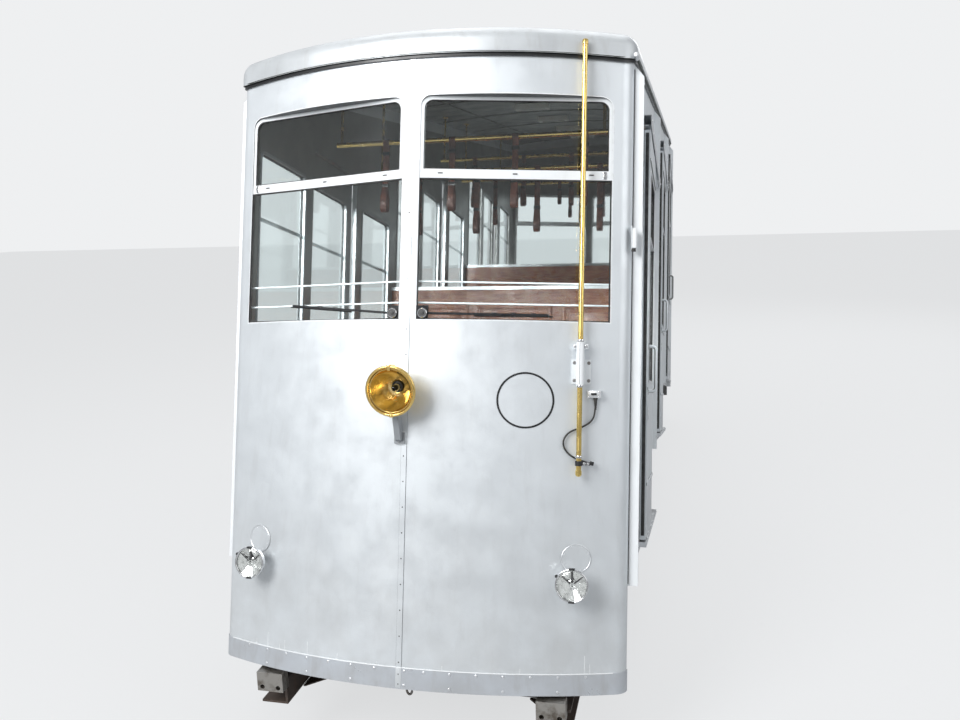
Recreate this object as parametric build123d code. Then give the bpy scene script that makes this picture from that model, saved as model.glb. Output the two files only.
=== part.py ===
from build123d import *
import os
from math import sin, cos, tan, radians, sqrt

os.makedirs("parts", exist_ok=True)

# A stepped funicular car. Sizes in mm.
# The body is laid out level: X across, Y uphill, Z up, with Y 0 at the downhill nose and
# Z 0 at the front apron's lower edge. Its floors are level, and its roof and underframe
# rise with the track. The running gear is laid out along the track from the same point,
# with Z square to the track. At the end the body is turned onto the track's frame.

# body
SLOPE_DEG = 13.0
BODY_W = 2200.0
BAY = 2420.0
BAY_COUNT = 3
END_L = 320.0
BOW = 260.0
CORNER_R = 90.0
WALL_T = 36.0
FLOOR_Z = 630.0
FLOOR_T = 40.0
RISER_T = 30.0
SKIRT_DROP = 110.0
GUTTER_Z = 3145.0
GUTTER_H = 18.0
GUTTER_OUT = 12.0
ROOF_RISE = 190.0
ROOF_EDGE = 122.0
ROOF_ROUND = 92.0
ROOF_T = 30.0
EAVE = 22.0
EAVE_CROWN = 57.0
REAR_APRON_DROP = 300.0
FIT = 0.3
OVER = 60.0

# end windows: flat panes let into the bowed wall
SILL_Z = 1839.0
WIN_H = 1158.0
REAR_WIN_H = 1350.0
WIN_IN_X = 40.0
WIN_OUT_X = 1008.0
WIN_R = 60.0
LINING_T = 6.0
SASH_W = 18.0
SASH_T = 22.0
SASH_SEAT = 4.0
TRANSOM_DROP = 405.0
TRANSOM_H = 47.0
GLASS_T = 6.0
PANE_SEAT = 8.0
GUARD_BAR_D = 10.0
GUARD_BAR_RISE = (94.0, 203.0)

# front fittings
BAND_H = 104.0
BAND_T = 4.0
BAND_END = 2.0
STRIP_W = 28.0
STRIP_T = 4.0
LAMP_X = -20.0
LAMP_Z = 1478.0
LAMP_R = 126.0
LAMP_DEPTH = 120.0
LAMP_OUT = 170.0
LAMP_WALL = 3.0
LAMP_RIM = 12.0
LAMP_NECK_R = 34.0
BULB_R = 17.0
FOOT_Z = 1246.0
FOOT_W = 54.0
STEM_W = 30.0
RING_X = 602.0
RING_Z = 1447.0
RING_R = 140.0
RING_W = 9.0
RING_T = 2.0
MARKER_X = 853.0
MARKER_Z = 560.0
MARKER_R = 80.0
MARKER_RIM = 6.0
MARKER_NECK_R = 22.0
MARKER_DEPTH = 82.0
MARKER_OUT = 120.0
LENS_T = 16.0
COVER_X = 857.0
COVER_Z = 669.0
COVER_R = 72.0
COVER_T = 3.0
POLE_X = 868.0
POLE_Z0 = 1087.0
POLE_Z1 = 3255.0
POLE_D = 26.0
POLE_OFF = 50.0
GUIDE_Z0 = 1528.0
GUIDE_Z1 = 1740.0
GUIDE_D = 40.0
GUIDE_PLATE_W = 92.0
GUIDE_PLATE_H = 124.0
GUIDE_PLATE_T = 7.0
CABLE_D = 9.0
WIPER_X = 80.0
WIPER_RISE = 37.0
WIPER_ARM_L = 622.0
WIPER_ARM_W = 12.0
WIPER_ARM_T = 6.0
WIPER_HUB_D = 50.0
WIPER_HUB_T = 14.0
LEFT_ARM_RISE = 54.0
WIPER_BLOCK_W = 58.0
WIPER_BLOCK_H = 70.0

# side doors and windows
DOOR_W = 800.0
HEAD_CLEAR = 193.0
DOOR_T = 36.0
DOOR_LAP = 20.0
DOOR_GAP = 12.0
DOOR_STILE = 100.0
DOOR_SILL = 950.0
DOOR_HEAD = 238.0
DOOR_TRAVEL = 760.0
SIDE_WIN_W = 600.0
SIDE_WIN_R = 40.0
POST_OUT = 50.0
POST_T = 30.0
POST_TOP_CUT = 65.0
LEFT_POST_BACK = 30.0
RAIL_H = 74.0
RAIL_T = 4.0
RAIL_LIP = 8.0
RAIL_END = 20.0
SILL_RAIL_H = 30.0
SILL_RAIL_DROP = 16.0
ROLLER_D = 44.0
ROLLER_W = 24.0
HANGER_W = 70.0
HANGER_T = 6.0
HANGER_IN = 130.0
HANDLE_L = 272.0
HANDLE_OUT = 46.0
HANDLE_D = 20.0
HANDLE_IN = 76.0
HANDLE_RISE = 884.0
HANDLE_BEND_R = 24.0

# inside
PARTITION_H = 1150.0
PARTITION_T = 30.0
CAP_H = 27.0
CAP_W = 44.0
BENCH_H = 430.0
BENCH_D = 440.0
BENCH_W = 1900.0
BENCH_LEG_T = 40.0
SLAT_T = 22.0
SLAT_GAP = 14.0
SLATS = 5
GRAB_H = 2480.0
GRAB_HALF_L = 900.0
GRAB_D = 32.0
GRAB_HANGER_D = 20.0
GRAB_PLACES = (0.34, 0.66)
DESK_W = 1200.0
DESK_D = 300.0
DESK_H = 1020.0
DESK_FALL = 30.0
BRAKE_WHEEL_R = 130.0
BRAKE_RIM_R = 13.0
BRAKE_RISE = 130.0
BRAKE_STEM_R = 17.0
BRAKE_HUB_R = 32.0
BRAKE_SPOKE_R = 8.0
LIGHT_W = 300.0
LIGHT_L = 130.0
LIGHT_T = 45.0
LIGHT_PLACES = (0.25, 0.75)

# running gear
GAUGE = 1000.0
RAIL_DROP = 560.0
WHEEL_R = 240.0
FLANGE_H = 15.0
FLANGE_T = 22.0
TREAD_W = 66.0
ROLLER_TREAD_W = 190.0
RIM_T = 60.0
HUB_SIDE = 50.0
HUB_END = 20.0
WEB_IN = 4.0
FLANGE_RUN = 7.0
AXLE_D = 100.0
HUB_D = 160.0
JOURNAL_D = 80.0
JOURNAL_CLEAR = 1.0
WHEELBASE = 5100.0
FIRST_AXLE = 1040.0
BEAM_X = 765.0
BEAM_W = 150.0
BEAM_H = 140.0
BEAM_T = 12.0
BEAM_TOP = 117.0
BEAM_Y0 = 152.0
BEAM_Y1 = 7840.0
BLOCK_T = 68.0
BLOCK_W = 146.0
BLOCK_X = 750.0
BLOCK_TOP = 44.0
BLOCK_LOW = 150.0
BLOCK_HOLE_R = 13.0
BLOCK_HOLE_OUT = 45.0
BLOCK_HOLE_UP = 24.0
CROSS_COUNT = 7
CROSS_W = 90.0
CROSS_BACK = 300.0
AXLE_BOX_L = 190.0
AXLE_BOX_W = 180.0
AXLE_BOX_DROP = 70.0
BOX_WALL = 24.0
AXLE_CLEAR = 6.0
STOOL_T = 12.0
STOOL_EDGE = 60.0
STOOL_HOLE_R = 18.0
JAW_GAP = 84.0
JAW_T = 40.0
JAW_H = 170.0
JAW_CLEAR = 28.0
ANCHOR_T = 60.0
ANCHOR_L = 170.0
ANCHOR_NOSE = 60.0
ANCHOR_DROP = 130.0
ANCHOR_CHEEK = 62.0
ROPE_PIN_R = 30.0
ROPE_PIN_RISE = 56.0

SLOPE = radians(SLOPE_DEG)
CLIMB = tan(SLOPE)
HALF_W = BODY_W / 2
BODY_L = BAY * BAY_COUNT + 2 * END_L
ARC_R = (HALF_W ** 2 + BOW ** 2) / (2 * BOW)
BAY_RISE = BAY * CLIMB
REAR_LIFT = (BAY_COUNT - 1) * BAY_RISE
REAR_LOW = BODY_L * CLIMB - REAR_APRON_DROP - REAR_LIFT
TALL = GUTTER_Z + BODY_L * CLIMB + 2 * ROOF_RISE
WIDE = HALF_W + POST_OUT + OVER
DOOR_Y0 = END_L + (BAY - DOOR_W) / 2
DOOR_H = GUTTER_Z + (DOOR_Y0 - RAIL_END) * CLIMB - FLOOR_Z - GUTTER_H - RAIL_H - RAIL_LIP - HEAD_CLEAR
DOOR_WIN_H = DOOR_H - DOOR_SILL - DOOR_HEAD
post_y = [END_L + i * BAY for i in range(BAY_COUNT + 1)]


def floor_z(bay):
    return FLOOR_Z + bay * BAY_RISE


def blk(x0, x1, y0, y1, z0, z1):
    lo, hi = sorted((x0, x1))
    return Pos((lo + hi) / 2, (y0 + y1) / 2, (z0 + z1) / 2) * Box(hi - lo, y1 - y0, z1 - z0)


def side_prism(points, x0, x1):
    face = Plane.YZ.offset(x0) * Polygon(*points, align=None)
    return extrude(face, amount=x1 - x0, dir=(1, 0, 0))


def push_up(face, z0, z1):
    return extrude(Pos(0, 0, z0) * face, amount=z1 - z0, dir=(0, 0, 1))


def push_back(face, y0, y1):
    return extrude(Pos(0, y0, 0) * (Plane.XZ * face), amount=y1 - y0, dir=(0, 1, 0))


def rod(x, y, z, axis, radius, length):
    turn = dict(x=Rot(0, 90, 0), y=Rot(90, 0, 0), z=Rot(0, 0, 0))[axis]
    return Pos(x, y, z) * turn * Cylinder(radius, length)


def facing(points, s):
    # an outline drawn for the right side, kept the right way round on the left
    flat = [(s * x, z) for x, z in points]
    return Polygon(*(flat if s > 0 else flat[::-1]), align=None)


def nose_y(x, inset=0.0):
    return ARC_R - sqrt((ARC_R - inset) ** 2 - x * x)


def nose_plan(inset, depth):
    # plan of the bowed end as far back as depth, its corners rounded
    hw = HALF_W - inset
    yf = nose_y(hw, inset)
    arc = ThreePointArc((-hw, yf), (0, inset), (hw, yf))
    rest = Polyline((hw, yf), (hw, depth), (-hw, depth), (-hw, yf))
    face = make_face([arc, rest])
    bows = [v for v in face.vertices() if v.Y < depth - 1]
    return fillet(bows, max(CORNER_R - inset, 10.0))


def long_plan(inset):
    near = nose_plan(inset, BODY_L / 2)
    far = Pos(0, BODY_L, 0) * mirror(nose_plan(inset, BODY_L / 2), Plane.XZ)
    return near + far


def at_end(end, shape):
    # a shape made for the downhill end, moved to the end it is for
    if end["far"]:
        return Pos(0, BODY_L, end["lift"]) * mirror(shape, Plane.XZ)
    return shape


def turned_to(end, shape):
    # as at_end, but turned round instead of mirrored, so that left stays left for a driver
    if end["far"]:
        return Pos(0, BODY_L, end["lift"]) * Rot(0, 0, 180) * shape
    return shape


def nose_skin(outer, inner, z0, z1, depth=END_L):
    return push_up(nose_plan(outer, depth) - nose_plan(inner, depth), z0, z1)


def on_nose(x, z, out, shape):
    # a fitting made facing downhill about its own origin, set out from the bowed wall
    return Pos(x, nose_y(x) - out, z) * shape


def pieces(*shapes):
    out = []
    for s in shapes:
        out.extend(s.solids())
    return Compound(out)


def arch(half, edge, rise):
    lines = [Line((-half, 0), (half, 0)), Line((half, 0), (half, edge)),
             ThreePointArc((half, edge), (0, rise), (-half, edge)), Line((-half, edge), (-half, 0))]
    return make_face(lines)


def along_roof(face, z):
    # a section square to the track, run past both ends and stood in the level layout
    run = push_back(face, -BAY, (BODY_L + 2 * BAY) / cos(SLOPE))
    return Rot(SLOPE_DEG, 0, 0) * Pos(0, 0, z * cos(SLOPE)) * run


def under_eave(drop):
    # all that is below the roof's underside, which is arched between the side walls
    half = HALF_W - WALL_T
    deep = TALL
    lines = [Line((-WIDE, -deep), (WIDE, -deep)), Line((WIDE, -deep), (WIDE, 0)), Line((WIDE, 0), (half, 0)),
             ThreePointArc((half, 0), (0, EAVE_CROWN), (-half, 0)), Line((-half, 0), (-WIDE, 0)),
             Line((-WIDE, 0), (-WIDE, -deep))]
    return along_roof(make_face(lines), GUTTER_Z - drop)


body = {}
gear = {}
doors = {}
ENDS = [dict(name="front", far=False, lift=0.0, low=0.0, win_h=WIN_H),
        dict(name="rear", far=True, lift=REAR_LIFT, low=REAR_LOW, win_h=REAR_WIN_H)]
SIDES = [dict(name="right", s=1), dict(name="left", s=-1)]
eaves = under_eave(0.0)
below_gutter = under_eave(GUTTER_H)
chord = (nose_y(WIN_OUT_X) - nose_y(WIN_IN_X)) / (WIN_OUT_X - WIN_IN_X)


def pane_y(x):
    # the flat plane of an end window, through the two edges of its hole in the bowed wall
    return nose_y(WIN_IN_X) + chord * (abs(x) - WIN_IN_X)


def window_prism(s, grow, z0, z1, radius):
    # a window's outline shrunk by grow, pushed through the end wall, rounded at its top
    xi, xo = WIN_IN_X + grow, WIN_OUT_X - grow
    face = facing([(xi, z0), (xo, z0), (xo, z1), (xi, z1)], s)
    if radius:
        face = fillet([v for v in face.vertices() if v.Y > z1 - 1], radius)
    return push_back(face, -OVER, END_L)


def pane_zone(s, front, back, z0, z1):
    # an upright slab along the window's plane, between two depths behind it
    xa, xb = WIN_IN_X - OVER / 2, WIN_OUT_X + OVER / 2
    ya, yb = pane_y(xa), pane_y(xb)
    pts = [(xa, ya + front), (xb, yb + front), (xb, yb + back), (xa, ya + back)]
    return push_up(facing(pts, s), z0, z1)


# end walls, each with two flat windows whose linings reach back from the bowed skin
frames = []
panes = []
strips = []
bands = []
bars = []
wipers = []
strip_gap = blk(-STRIP_W / 2, STRIP_W / 2, -OVER, END_L, 0, TALL)
for end in ENDS:
    low, high = SILL_Z, SILL_Z + end["win_h"]
    wall = nose_skin(0, WALL_T, end["low"], TALL)
    inside_skin = push_up(nose_plan(FIT, END_L), low, high)
    fixed_rail = high - TRANSOM_DROP
    for s in (1, -1):
        hole = window_prism(s, 0, low, high, WIN_R)
        inner = window_prism(s, LINING_T, low + LINING_T, high - LINING_T, WIN_R - LINING_T)
        sight = window_prism(s, LINING_T + SASH_W, fixed_rail + TRANSOM_H / 2, high - LINING_T - SASH_W,
                             WIN_R - LINING_T - SASH_W / 2)
        wall = wall - hole
        sash_back = SASH_SEAT + SASH_T
        lining = (hole - inner) & inside_skin & pane_zone(s, -END_L, sash_back, low, high)
        sash_zone = pane_zone(s, SASH_SEAT, sash_back, fixed_rail - TRANSOM_H / 2, high)
        sash = (inner & sash_zone) - sight
        frames.append(at_end(end, lining + sash))
        glass_front = SASH_SEAT + PANE_SEAT
        upper = sight & pane_zone(s, glass_front, glass_front + GLASS_T, low, high)
        lower = inner & pane_zone(s, glass_front, glass_front + GLASS_T, low, fixed_rail - TRANSOM_H / 2)
        panes.append(at_end(end, upper))
        panes.append(at_end(end, lower))
        # wiper: a block in the window's inner corner, a round hub and a straight arm
        bx0 = WIN_IN_X + LINING_T
        block_zone = pane_zone(s, 0, glass_front, low + LINING_T, low + LINING_T + WIPER_BLOCK_H)
        block = block_zone & blk(s * bx0, s * (bx0 + WIPER_BLOCK_W), -OVER, END_L, low, high)
        hub_z = low + WIPER_RISE
        hub = rod(s * WIPER_X, pane_y(WIPER_X), hub_z, "y", WIPER_HUB_D / 2, 2 * WIPER_HUB_T)
        hub = hub & pane_zone(s, -OVER, 2, low, high)
        arm_lift = 0 if s > 0 else LEFT_ARM_RISE
        x0, x1 = WIPER_X, WIPER_X + WIPER_ARM_L
        arm_pts = [(x0, hub_z - WIPER_ARM_W / 2), (x1, hub_z + arm_lift - WIPER_ARM_W / 2),
                   (x1, hub_z + arm_lift + WIPER_ARM_W / 2), (x0, hub_z + WIPER_ARM_W / 2)]
        arm = push_back(facing(arm_pts, s), -OVER, END_L) & pane_zone(s, -WIPER_ARM_T, 0, low, high)
        wipers.append(turned_to(end, block + hub + arm))
    for s in (1, -1):
        for rise in GUARD_BAR_RISE:
            bar_at = WALL_T + GUARD_BAR_D / 2
            xa, xb = STRIP_W / 2, WIN_OUT_X + OVER / 2
            start = Vector(s * xa, pane_y(xa) + bar_at, low + rise)
            run = Vector(s * (xb - xa), pane_y(xb) - pane_y(xa), 0)
            cut = Plane(origin=start, z_dir=run) * Circle(GUARD_BAR_D / 2)
            bar = extrude(cut, amount=run.length, dir=run.normalized())
            bars.append(at_end(end, bar - wall))
    wall = at_end(end, wall) & eaves
    body["end_wall_" + end["name"]] = wall
    strip = nose_skin(-STRIP_T, 0, end["low"] + BAND_H, TALL) & strip_gap
    strips.append(at_end(end, strip) & below_gutter)
    bands.append(at_end(end, nose_skin(-BAND_T, 0, end["low"], end["low"] + BAND_H, END_L - BAND_END)))
body["window_frames"] = pieces(*frames)
body["windscreen_glass"] = pieces(*panes)
body["centre_strips"] = pieces(*strips)
body["apron_bands"] = pieces(*bands)
body["window_guard_bars"] = pieces(*bars)
body["wipers"] = pieces(*wipers)

# side walls: lower edge in steps with the floors, upper edge along the gutter
outline = []
for i in range(BAY_COUNT):
    outline += [(post_y[i], floor_z(i) - SKIRT_DROP), (post_y[i + 1], floor_z(i) - SKIRT_DROP)]
outline += [(post_y[-1], GUTTER_Z + post_y[-1] * CLIMB), (post_y[0], GUTTER_Z + post_y[0] * CLIMB)]
door_face = HALF_W + DOOR_GAP + DOOR_T
rail_out = door_face + RAIL_LIP
side_panes = []
posts = []
rails = []
for side in SIDES:
    s = side["s"]
    wall = side_prism(outline, *sorted((s * (HALF_W - WALL_T), s * HALF_W)))
    x_mid = s * (HALF_W - WALL_T / 2)
    for i in range(BAY_COUNT):
        f = floor_z(i)
        y0, y1 = DOOR_Y0 + i * BAY, DOOR_Y0 + i * BAY + DOOR_W
        xa, xb = s * (HALF_W - OVER), s * (HALF_W + OVER)
        wall -= blk(xa, xb, y0 + DOOR_LAP, y1 - DOOR_LAP, f, f + DOOR_H - DOOR_LAP)
        za, zb = f + DOOR_SILL, f + DOOR_SILL + DOOR_WIN_H
        for win_mid in ((post_y[i] + y0) / 2, (post_y[i + 1] + y1) / 2):
            ya, yb = win_mid - SIDE_WIN_W / 2, win_mid + SIDE_WIN_W / 2
            hole = blk(xa, xb, ya, yb, za, zb)
            wall -= fillet(hole.edges().filter_by(Axis.X), SIDE_WIN_R)
            pane = blk(x_mid - GLASS_T / 2, x_mid + GLASS_T / 2, ya, yb, za, zb)
            side_panes.append(fillet(pane.edges().filter_by(Axis.X), SIDE_WIN_R))
        # door rail: a hood on the wall with a tongue that the door's rollers stand on
        z = f + DOOR_H + RAIL_LIP
        tongue = z + RAIL_LIP + RAIL_T
        ya, yb = y0 - RAIL_END, y1 + DOOR_TRAVEL + RAIL_END
        x0, x1 = HALF_W, rail_out
        x_tongue = x1 - 2 * RAIL_LIP
        lid = z + RAIL_H - RAIL_T
        lip = z + RAIL_LIP
        hood = [(x0, z), (x0 + RAIL_T, z), (x0 + RAIL_T, lip), (x_tongue, lip), (x_tongue, tongue),
                (x0 + RAIL_T, tongue), (x0 + RAIL_T, lid), (x1 - RAIL_T, lid), (x1 - RAIL_T, lip), (x1, lip),
                (x1, z + RAIL_H), (x0, z + RAIL_H)]
        rails.append(push_back(facing(hood, s), ya, yb))
        sill_top = f - SILL_RAIL_DROP
        rails.append(blk(s * HALF_W, s * (door_face + HANGER_T), ya, yb, sill_top - SILL_RAIL_H, sill_top))
        # the door itself, its hangers and rollers, and its D-handle
        panel = blk(s * (HALF_W + DOOR_GAP), s * door_face, y0, y1, f - SILL_RAIL_DROP + HANGER_T, f + DOOR_H)
        panel = fillet(panel.edges().filter_by(Axis.X), 2 * HANGER_T)
        hole = blk(s * (HALF_W), s * (door_face + OVER), y0 + DOOR_STILE, y1 - DOOR_STILE, za, zb)
        door = panel - fillet(hole.edges().filter_by(Axis.X), SIDE_WIN_R)
        hx0, hx1 = rail_out - RAIL_LIP - HANGER_T, rail_out - RAIL_LIP
        hz0, hz1 = f + DOOR_H - HANGER_W, tongue + ROLLER_D / 2 + 2 * HANGER_T
        for ry in (y0 + HANGER_IN, y1 - HANGER_IN):
            door += blk(s * hx0, s * hx1, ry - HANGER_W / 2, ry + HANGER_W / 2, hz0, hz1)
            roller_x = hx0 - ROLLER_W / 2
            door += rod(s * roller_x, ry, tongue + ROLLER_D / 2 + FIT, "x", ROLLER_D / 2, ROLLER_W)
        hz, hy, xo = f + HANDLE_RISE, y0 + HANDLE_IN, s * door_face
        grip_x = xo + s * HANDLE_OUT
        corners = [(xo, hy, hz), (grip_x, hy, hz), (grip_x, hy, hz + HANDLE_L), (xo, hy, hz + HANDLE_L)]
        route = FilletPolyline(*corners, radius=HANDLE_BEND_R)
        door += sweep(Plane(origin=(xo, hy, hz), z_dir=(s, 0, 0)) * Circle(HANDLE_D / 2), path=route)
        key = side["name"] + "_" + str(i + 1)
        doors["door_" + key] = door
        x_pane = s * (HALF_W + DOOR_GAP + DOOR_T / 2)
        pane = blk(x_pane - GLASS_T / 2, x_pane + GLASS_T / 2, y0 + DOOR_STILE, y1 - DOOR_STILE, za, zb)
        doors["door_glass_" + key] = fillet(pane.edges().filter_by(Axis.X), SIDE_WIN_R)
    body["side_wall_" + side["name"]] = wall
    for i, y in enumerate(post_y):
        ya = y - POST_T / 2
        if i == 0:
            ya = y if s > 0 else y + LEFT_POST_BACK
        if i == BAY_COUNT:
            ya = y - POST_T
        low = floor_z(min(i, BAY_COUNT - 1)) - SKIRT_DROP
        high = GUTTER_Z - GUTTER_H - RAIL_T + ya * CLIMB
        x_out = HALF_W + POST_OUT
        shape = [(HALF_W, low), (x_out, low), (x_out, high - POST_TOP_CUT), (HALF_W, high)]
        posts.append(push_back(facing(shape, s), ya, ya + POST_T))
body["side_glass"] = pieces(*side_panes)
body["side_posts"] = pieces(*posts)
body["door_rails"] = pieces(*rails)

# roof: one arched section run along the slope, trimmed to the plan, its edge rolled over
crown = along_roof(arch(HALF_W + EAVE, ROOF_EDGE, ROOF_RISE), GUTTER_Z)
outer = crown & push_up(long_plan(-EAVE), GUTTER_Z - GUTTER_H, TALL)
rim = [e for e in outer.edges() if e.center().Z - GUTTER_Z - e.center().Y * CLIMB > ROOF_EDGE * 0.8]
outer = fillet(rim, ROOF_ROUND) - eaves
hollow = along_roof(arch(HALF_W - WALL_T, ROOF_EDGE - ROOF_T, ROOF_RISE - ROOF_T), GUTTER_Z - FIT)
body["roof"] = outer - (hollow & push_up(long_plan(WALL_T), GUTTER_Z - GUTTER_H, TALL))
ring = push_up(long_plan(-GUTTER_OUT) - long_plan(0), GUTTER_Z - 2 * GUTTER_H, TALL)
body["gutter_strip"] = ring & (eaves - below_gutter)

# stepped floor, with its risers
cabin = push_up(long_plan(WALL_T + FIT), 0, TALL)
steps = []
for i in range(BAY_COUNT):
    ya = 0 if i == 0 else post_y[i]
    yb = BODY_L if i == BAY_COUNT - 1 else post_y[i + 1] + RISER_T
    steps.append(blk(-HALF_W, HALF_W, ya, yb, floor_z(i) - FLOOR_T, floor_z(i)))
    if i < BAY_COUNT - 1:
        steps.append(blk(-HALF_W, HALF_W, post_y[i + 1], post_y[i + 1] + RISER_T, floor_z(i), floor_z(i + 1)))
floor = steps[0]
for step in steps[1:]:
    floor = floor + step
body["stepped_floor"] = floor & cabin
inside = HALF_W - WALL_T - FIT
panels = []
caps = []
for i in range(1, BAY_COUNT):
    y, top = post_y[i], floor_z(i) + PARTITION_H
    panels.append(blk(-inside, inside, y, y + PARTITION_T, floor_z(i), top))
    y_cap = y + PARTITION_T / 2
    caps.append(blk(-inside, inside, y_cap - CAP_W / 2, y_cap + CAP_W / 2, top, top + CAP_H))
body["partitions"] = pieces(*panels)
body["partition_caps"] = pieces(*caps)

# slatted benches, against the partitions
BENCHES = [dict(bay=0, low_end=False), dict(bay=1, low_end=True),
           dict(bay=1, low_end=False), dict(bay=2, low_end=True)]
benches = []
for seat in BENCHES:
    bay = seat["bay"]
    y = post_y[bay] + PARTITION_T + FIT if seat["low_end"] else post_y[bay + 1] - BENCH_D - FIT
    f = floor_z(bay)
    pitch = (BENCH_D + SLAT_GAP) / SLATS
    bench = None
    for x in (-BENCH_W / 2 + BENCH_LEG_T, 0, BENCH_W / 2 - BENCH_LEG_T):
        leg = blk(x - BENCH_LEG_T / 2, x + BENCH_LEG_T / 2, y, y + BENCH_D, f, f + BENCH_H - SLAT_T)
        bench = leg if bench is None else bench + leg
    for k in range(SLATS):
        ys = y + k * pitch
        slat = blk(-BENCH_W / 2, BENCH_W / 2, ys, ys + pitch - SLAT_GAP, f + BENCH_H - SLAT_T, f + BENCH_H)
        bench = bench + slat
    benches.append(bench)
body["benches"] = pieces(*benches)


def ceiling_z(x, y):
    half, edge, rise = HALF_W - WALL_T, ROOF_EDGE - ROOF_T, ROOF_RISE - ROOF_T
    r = (half ** 2 + (rise - edge) ** 2) / (2 * (rise - edge))
    return GUTTER_Z + y * CLIMB + (rise - r + sqrt(r * r - x * x)) / cos(SLOPE)


grabs = []
lights = []
for i in range(BAY_COUNT):
    z = floor_z(i) + GRAB_H
    for place in GRAB_PLACES:
        y = post_y[i] + BAY * place
        grab = rod(0, y, z, "x", GRAB_D / 2, 2 * GRAB_HALF_L)
        for x in (-GRAB_HALF_L + GRAB_D, GRAB_HALF_L - GRAB_D):
            top = ceiling_z(x, y) + ROOF_T / 2
            grab = grab + rod(x, y, (z + top) / 2, "z", GRAB_HANGER_D / 2, top - z)
        grabs.append(grab - body["roof"])
    for place in LIGHT_PLACES:
        y = post_y[i] + BAY * place
        case = Rot(SLOPE_DEG, 0, 0) * Pos(0, 0, -LIGHT_T / 2) * Box(LIGHT_W, LIGHT_L, LIGHT_T)
        lights.append(Pos(0, y, ceiling_z(LIGHT_W / 2, y) - 2 * FIT) * case)
body["ceiling_grab_rails"] = pieces(*grabs)
body["ceiling_lights"] = pieces(*lights)

# a driver's desk at each end, with a hand brake wheel
desk_y = WALL_T + nose_y(DESK_W / 2) + RAIL_T
desk_top = FLOOR_Z + DESK_H
desk_back = desk_y + DESK_D
slant = [(desk_y, FLOOR_Z), (desk_back, FLOOR_Z), (desk_back, desk_top - DESK_FALL), (desk_y, desk_top)]
desk = side_prism(slant, -DESK_W / 2, DESK_W / 2)
wheel = rod(0, 0, BRAKE_RISE / 2 - BRAKE_RIM_R, "z", BRAKE_STEM_R, BRAKE_RISE)
wheel = wheel + Pos(0, 0, BRAKE_RISE) * Torus(BRAKE_WHEEL_R, BRAKE_RIM_R)
wheel = wheel + Pos(0, 0, BRAKE_RISE) * Cylinder(BRAKE_HUB_R, 2 * BRAKE_RIM_R)
for k in range(3):
    spoke = Pos(BRAKE_WHEEL_R / 2, 0, BRAKE_RISE) * Rot(0, 90, 0) * Cylinder(BRAKE_SPOKE_R, BRAKE_WHEEL_R)
    wheel = wheel + Rot(0, 0, 120 * k + 30) * spoke
wheel = Pos(DESK_W / 4, desk_y + DESK_D / 2, desk_top) * wheel - desk
body["driver_desks"] = pieces(*[turned_to(end, desk) for end in ENDS])
body["brake_handwheels"] = pieces(*[turned_to(end, wheel) for end in ENDS])

# lamps, rings, covers and their brackets, the same at both ends
lamps = []
stems = []
bulbs = []
rings = []
marks = []
lenses = []
covers = []
cheek = (LAMP_DEPTH * 0.55, LAMP_R * 0.78)
inner_cheek = (LAMP_DEPTH * 0.52, LAMP_R * 0.78 - LAMP_RIM)
bowl_outline = [Line((0, 0), (0, LAMP_R)), Line((0, LAMP_R), (LAMP_RIM, LAMP_R)),
                ThreePointArc((LAMP_RIM, LAMP_R), cheek, (LAMP_DEPTH, LAMP_NECK_R)),
                Line((LAMP_DEPTH, LAMP_NECK_R), (LAMP_DEPTH, 0)), Line((LAMP_DEPTH, 0), (0, 0))]
mouth_r = LAMP_R - LAMP_RIM
floor_y = LAMP_DEPTH - LAMP_WALL
bowl_inside = [Line((-1, 0), (-1, mouth_r)), Line((-1, mouth_r), (LAMP_RIM - 2, mouth_r)),
               ThreePointArc((LAMP_RIM - 2, mouth_r), inner_cheek, (floor_y, BULB_R)),
               Line((floor_y, BULB_R), (floor_y, 0)), Line((floor_y, 0), (-1, 0))]
full_bowl = revolve(Plane.YX * make_face(bowl_outline), Axis.Y)
bowl = full_bowl - revolve(Plane.YX * make_face(bowl_inside), Axis.Y)
bulb = rod(0, floor_y - 22, 0, "y", BULB_R - LAMP_WALL, 44) + Pos(0, floor_y - 50, 0) * Sphere(BULB_R)
cup_lip = LENS_T + MARKER_RIM
cup_cheek = (MARKER_DEPTH * 0.7, MARKER_R * 0.72)
cup = [Line((0, 0), (0, MARKER_R)), Line((0, MARKER_R), (cup_lip, MARKER_R)),
       ThreePointArc((cup_lip, MARKER_R), cup_cheek, (MARKER_DEPTH, MARKER_NECK_R)),
       Line((MARKER_DEPTH, MARKER_NECK_R), (MARKER_DEPTH, 0)), Line((MARKER_DEPTH, 0), (0, 0))]
lens_r = MARKER_R - MARKER_RIM
case = revolve(Plane.YX * make_face(cup), Axis.Y) - rod(0, cup_lip / 2 - 1, 0, "y", lens_r, cup_lip)
solid_nose = push_up(nose_plan(0, 2 * END_L), 0, TALL)
strip_shape = nose_skin(-STRIP_T, 0, BAND_H, TALL) & strip_gap
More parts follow.
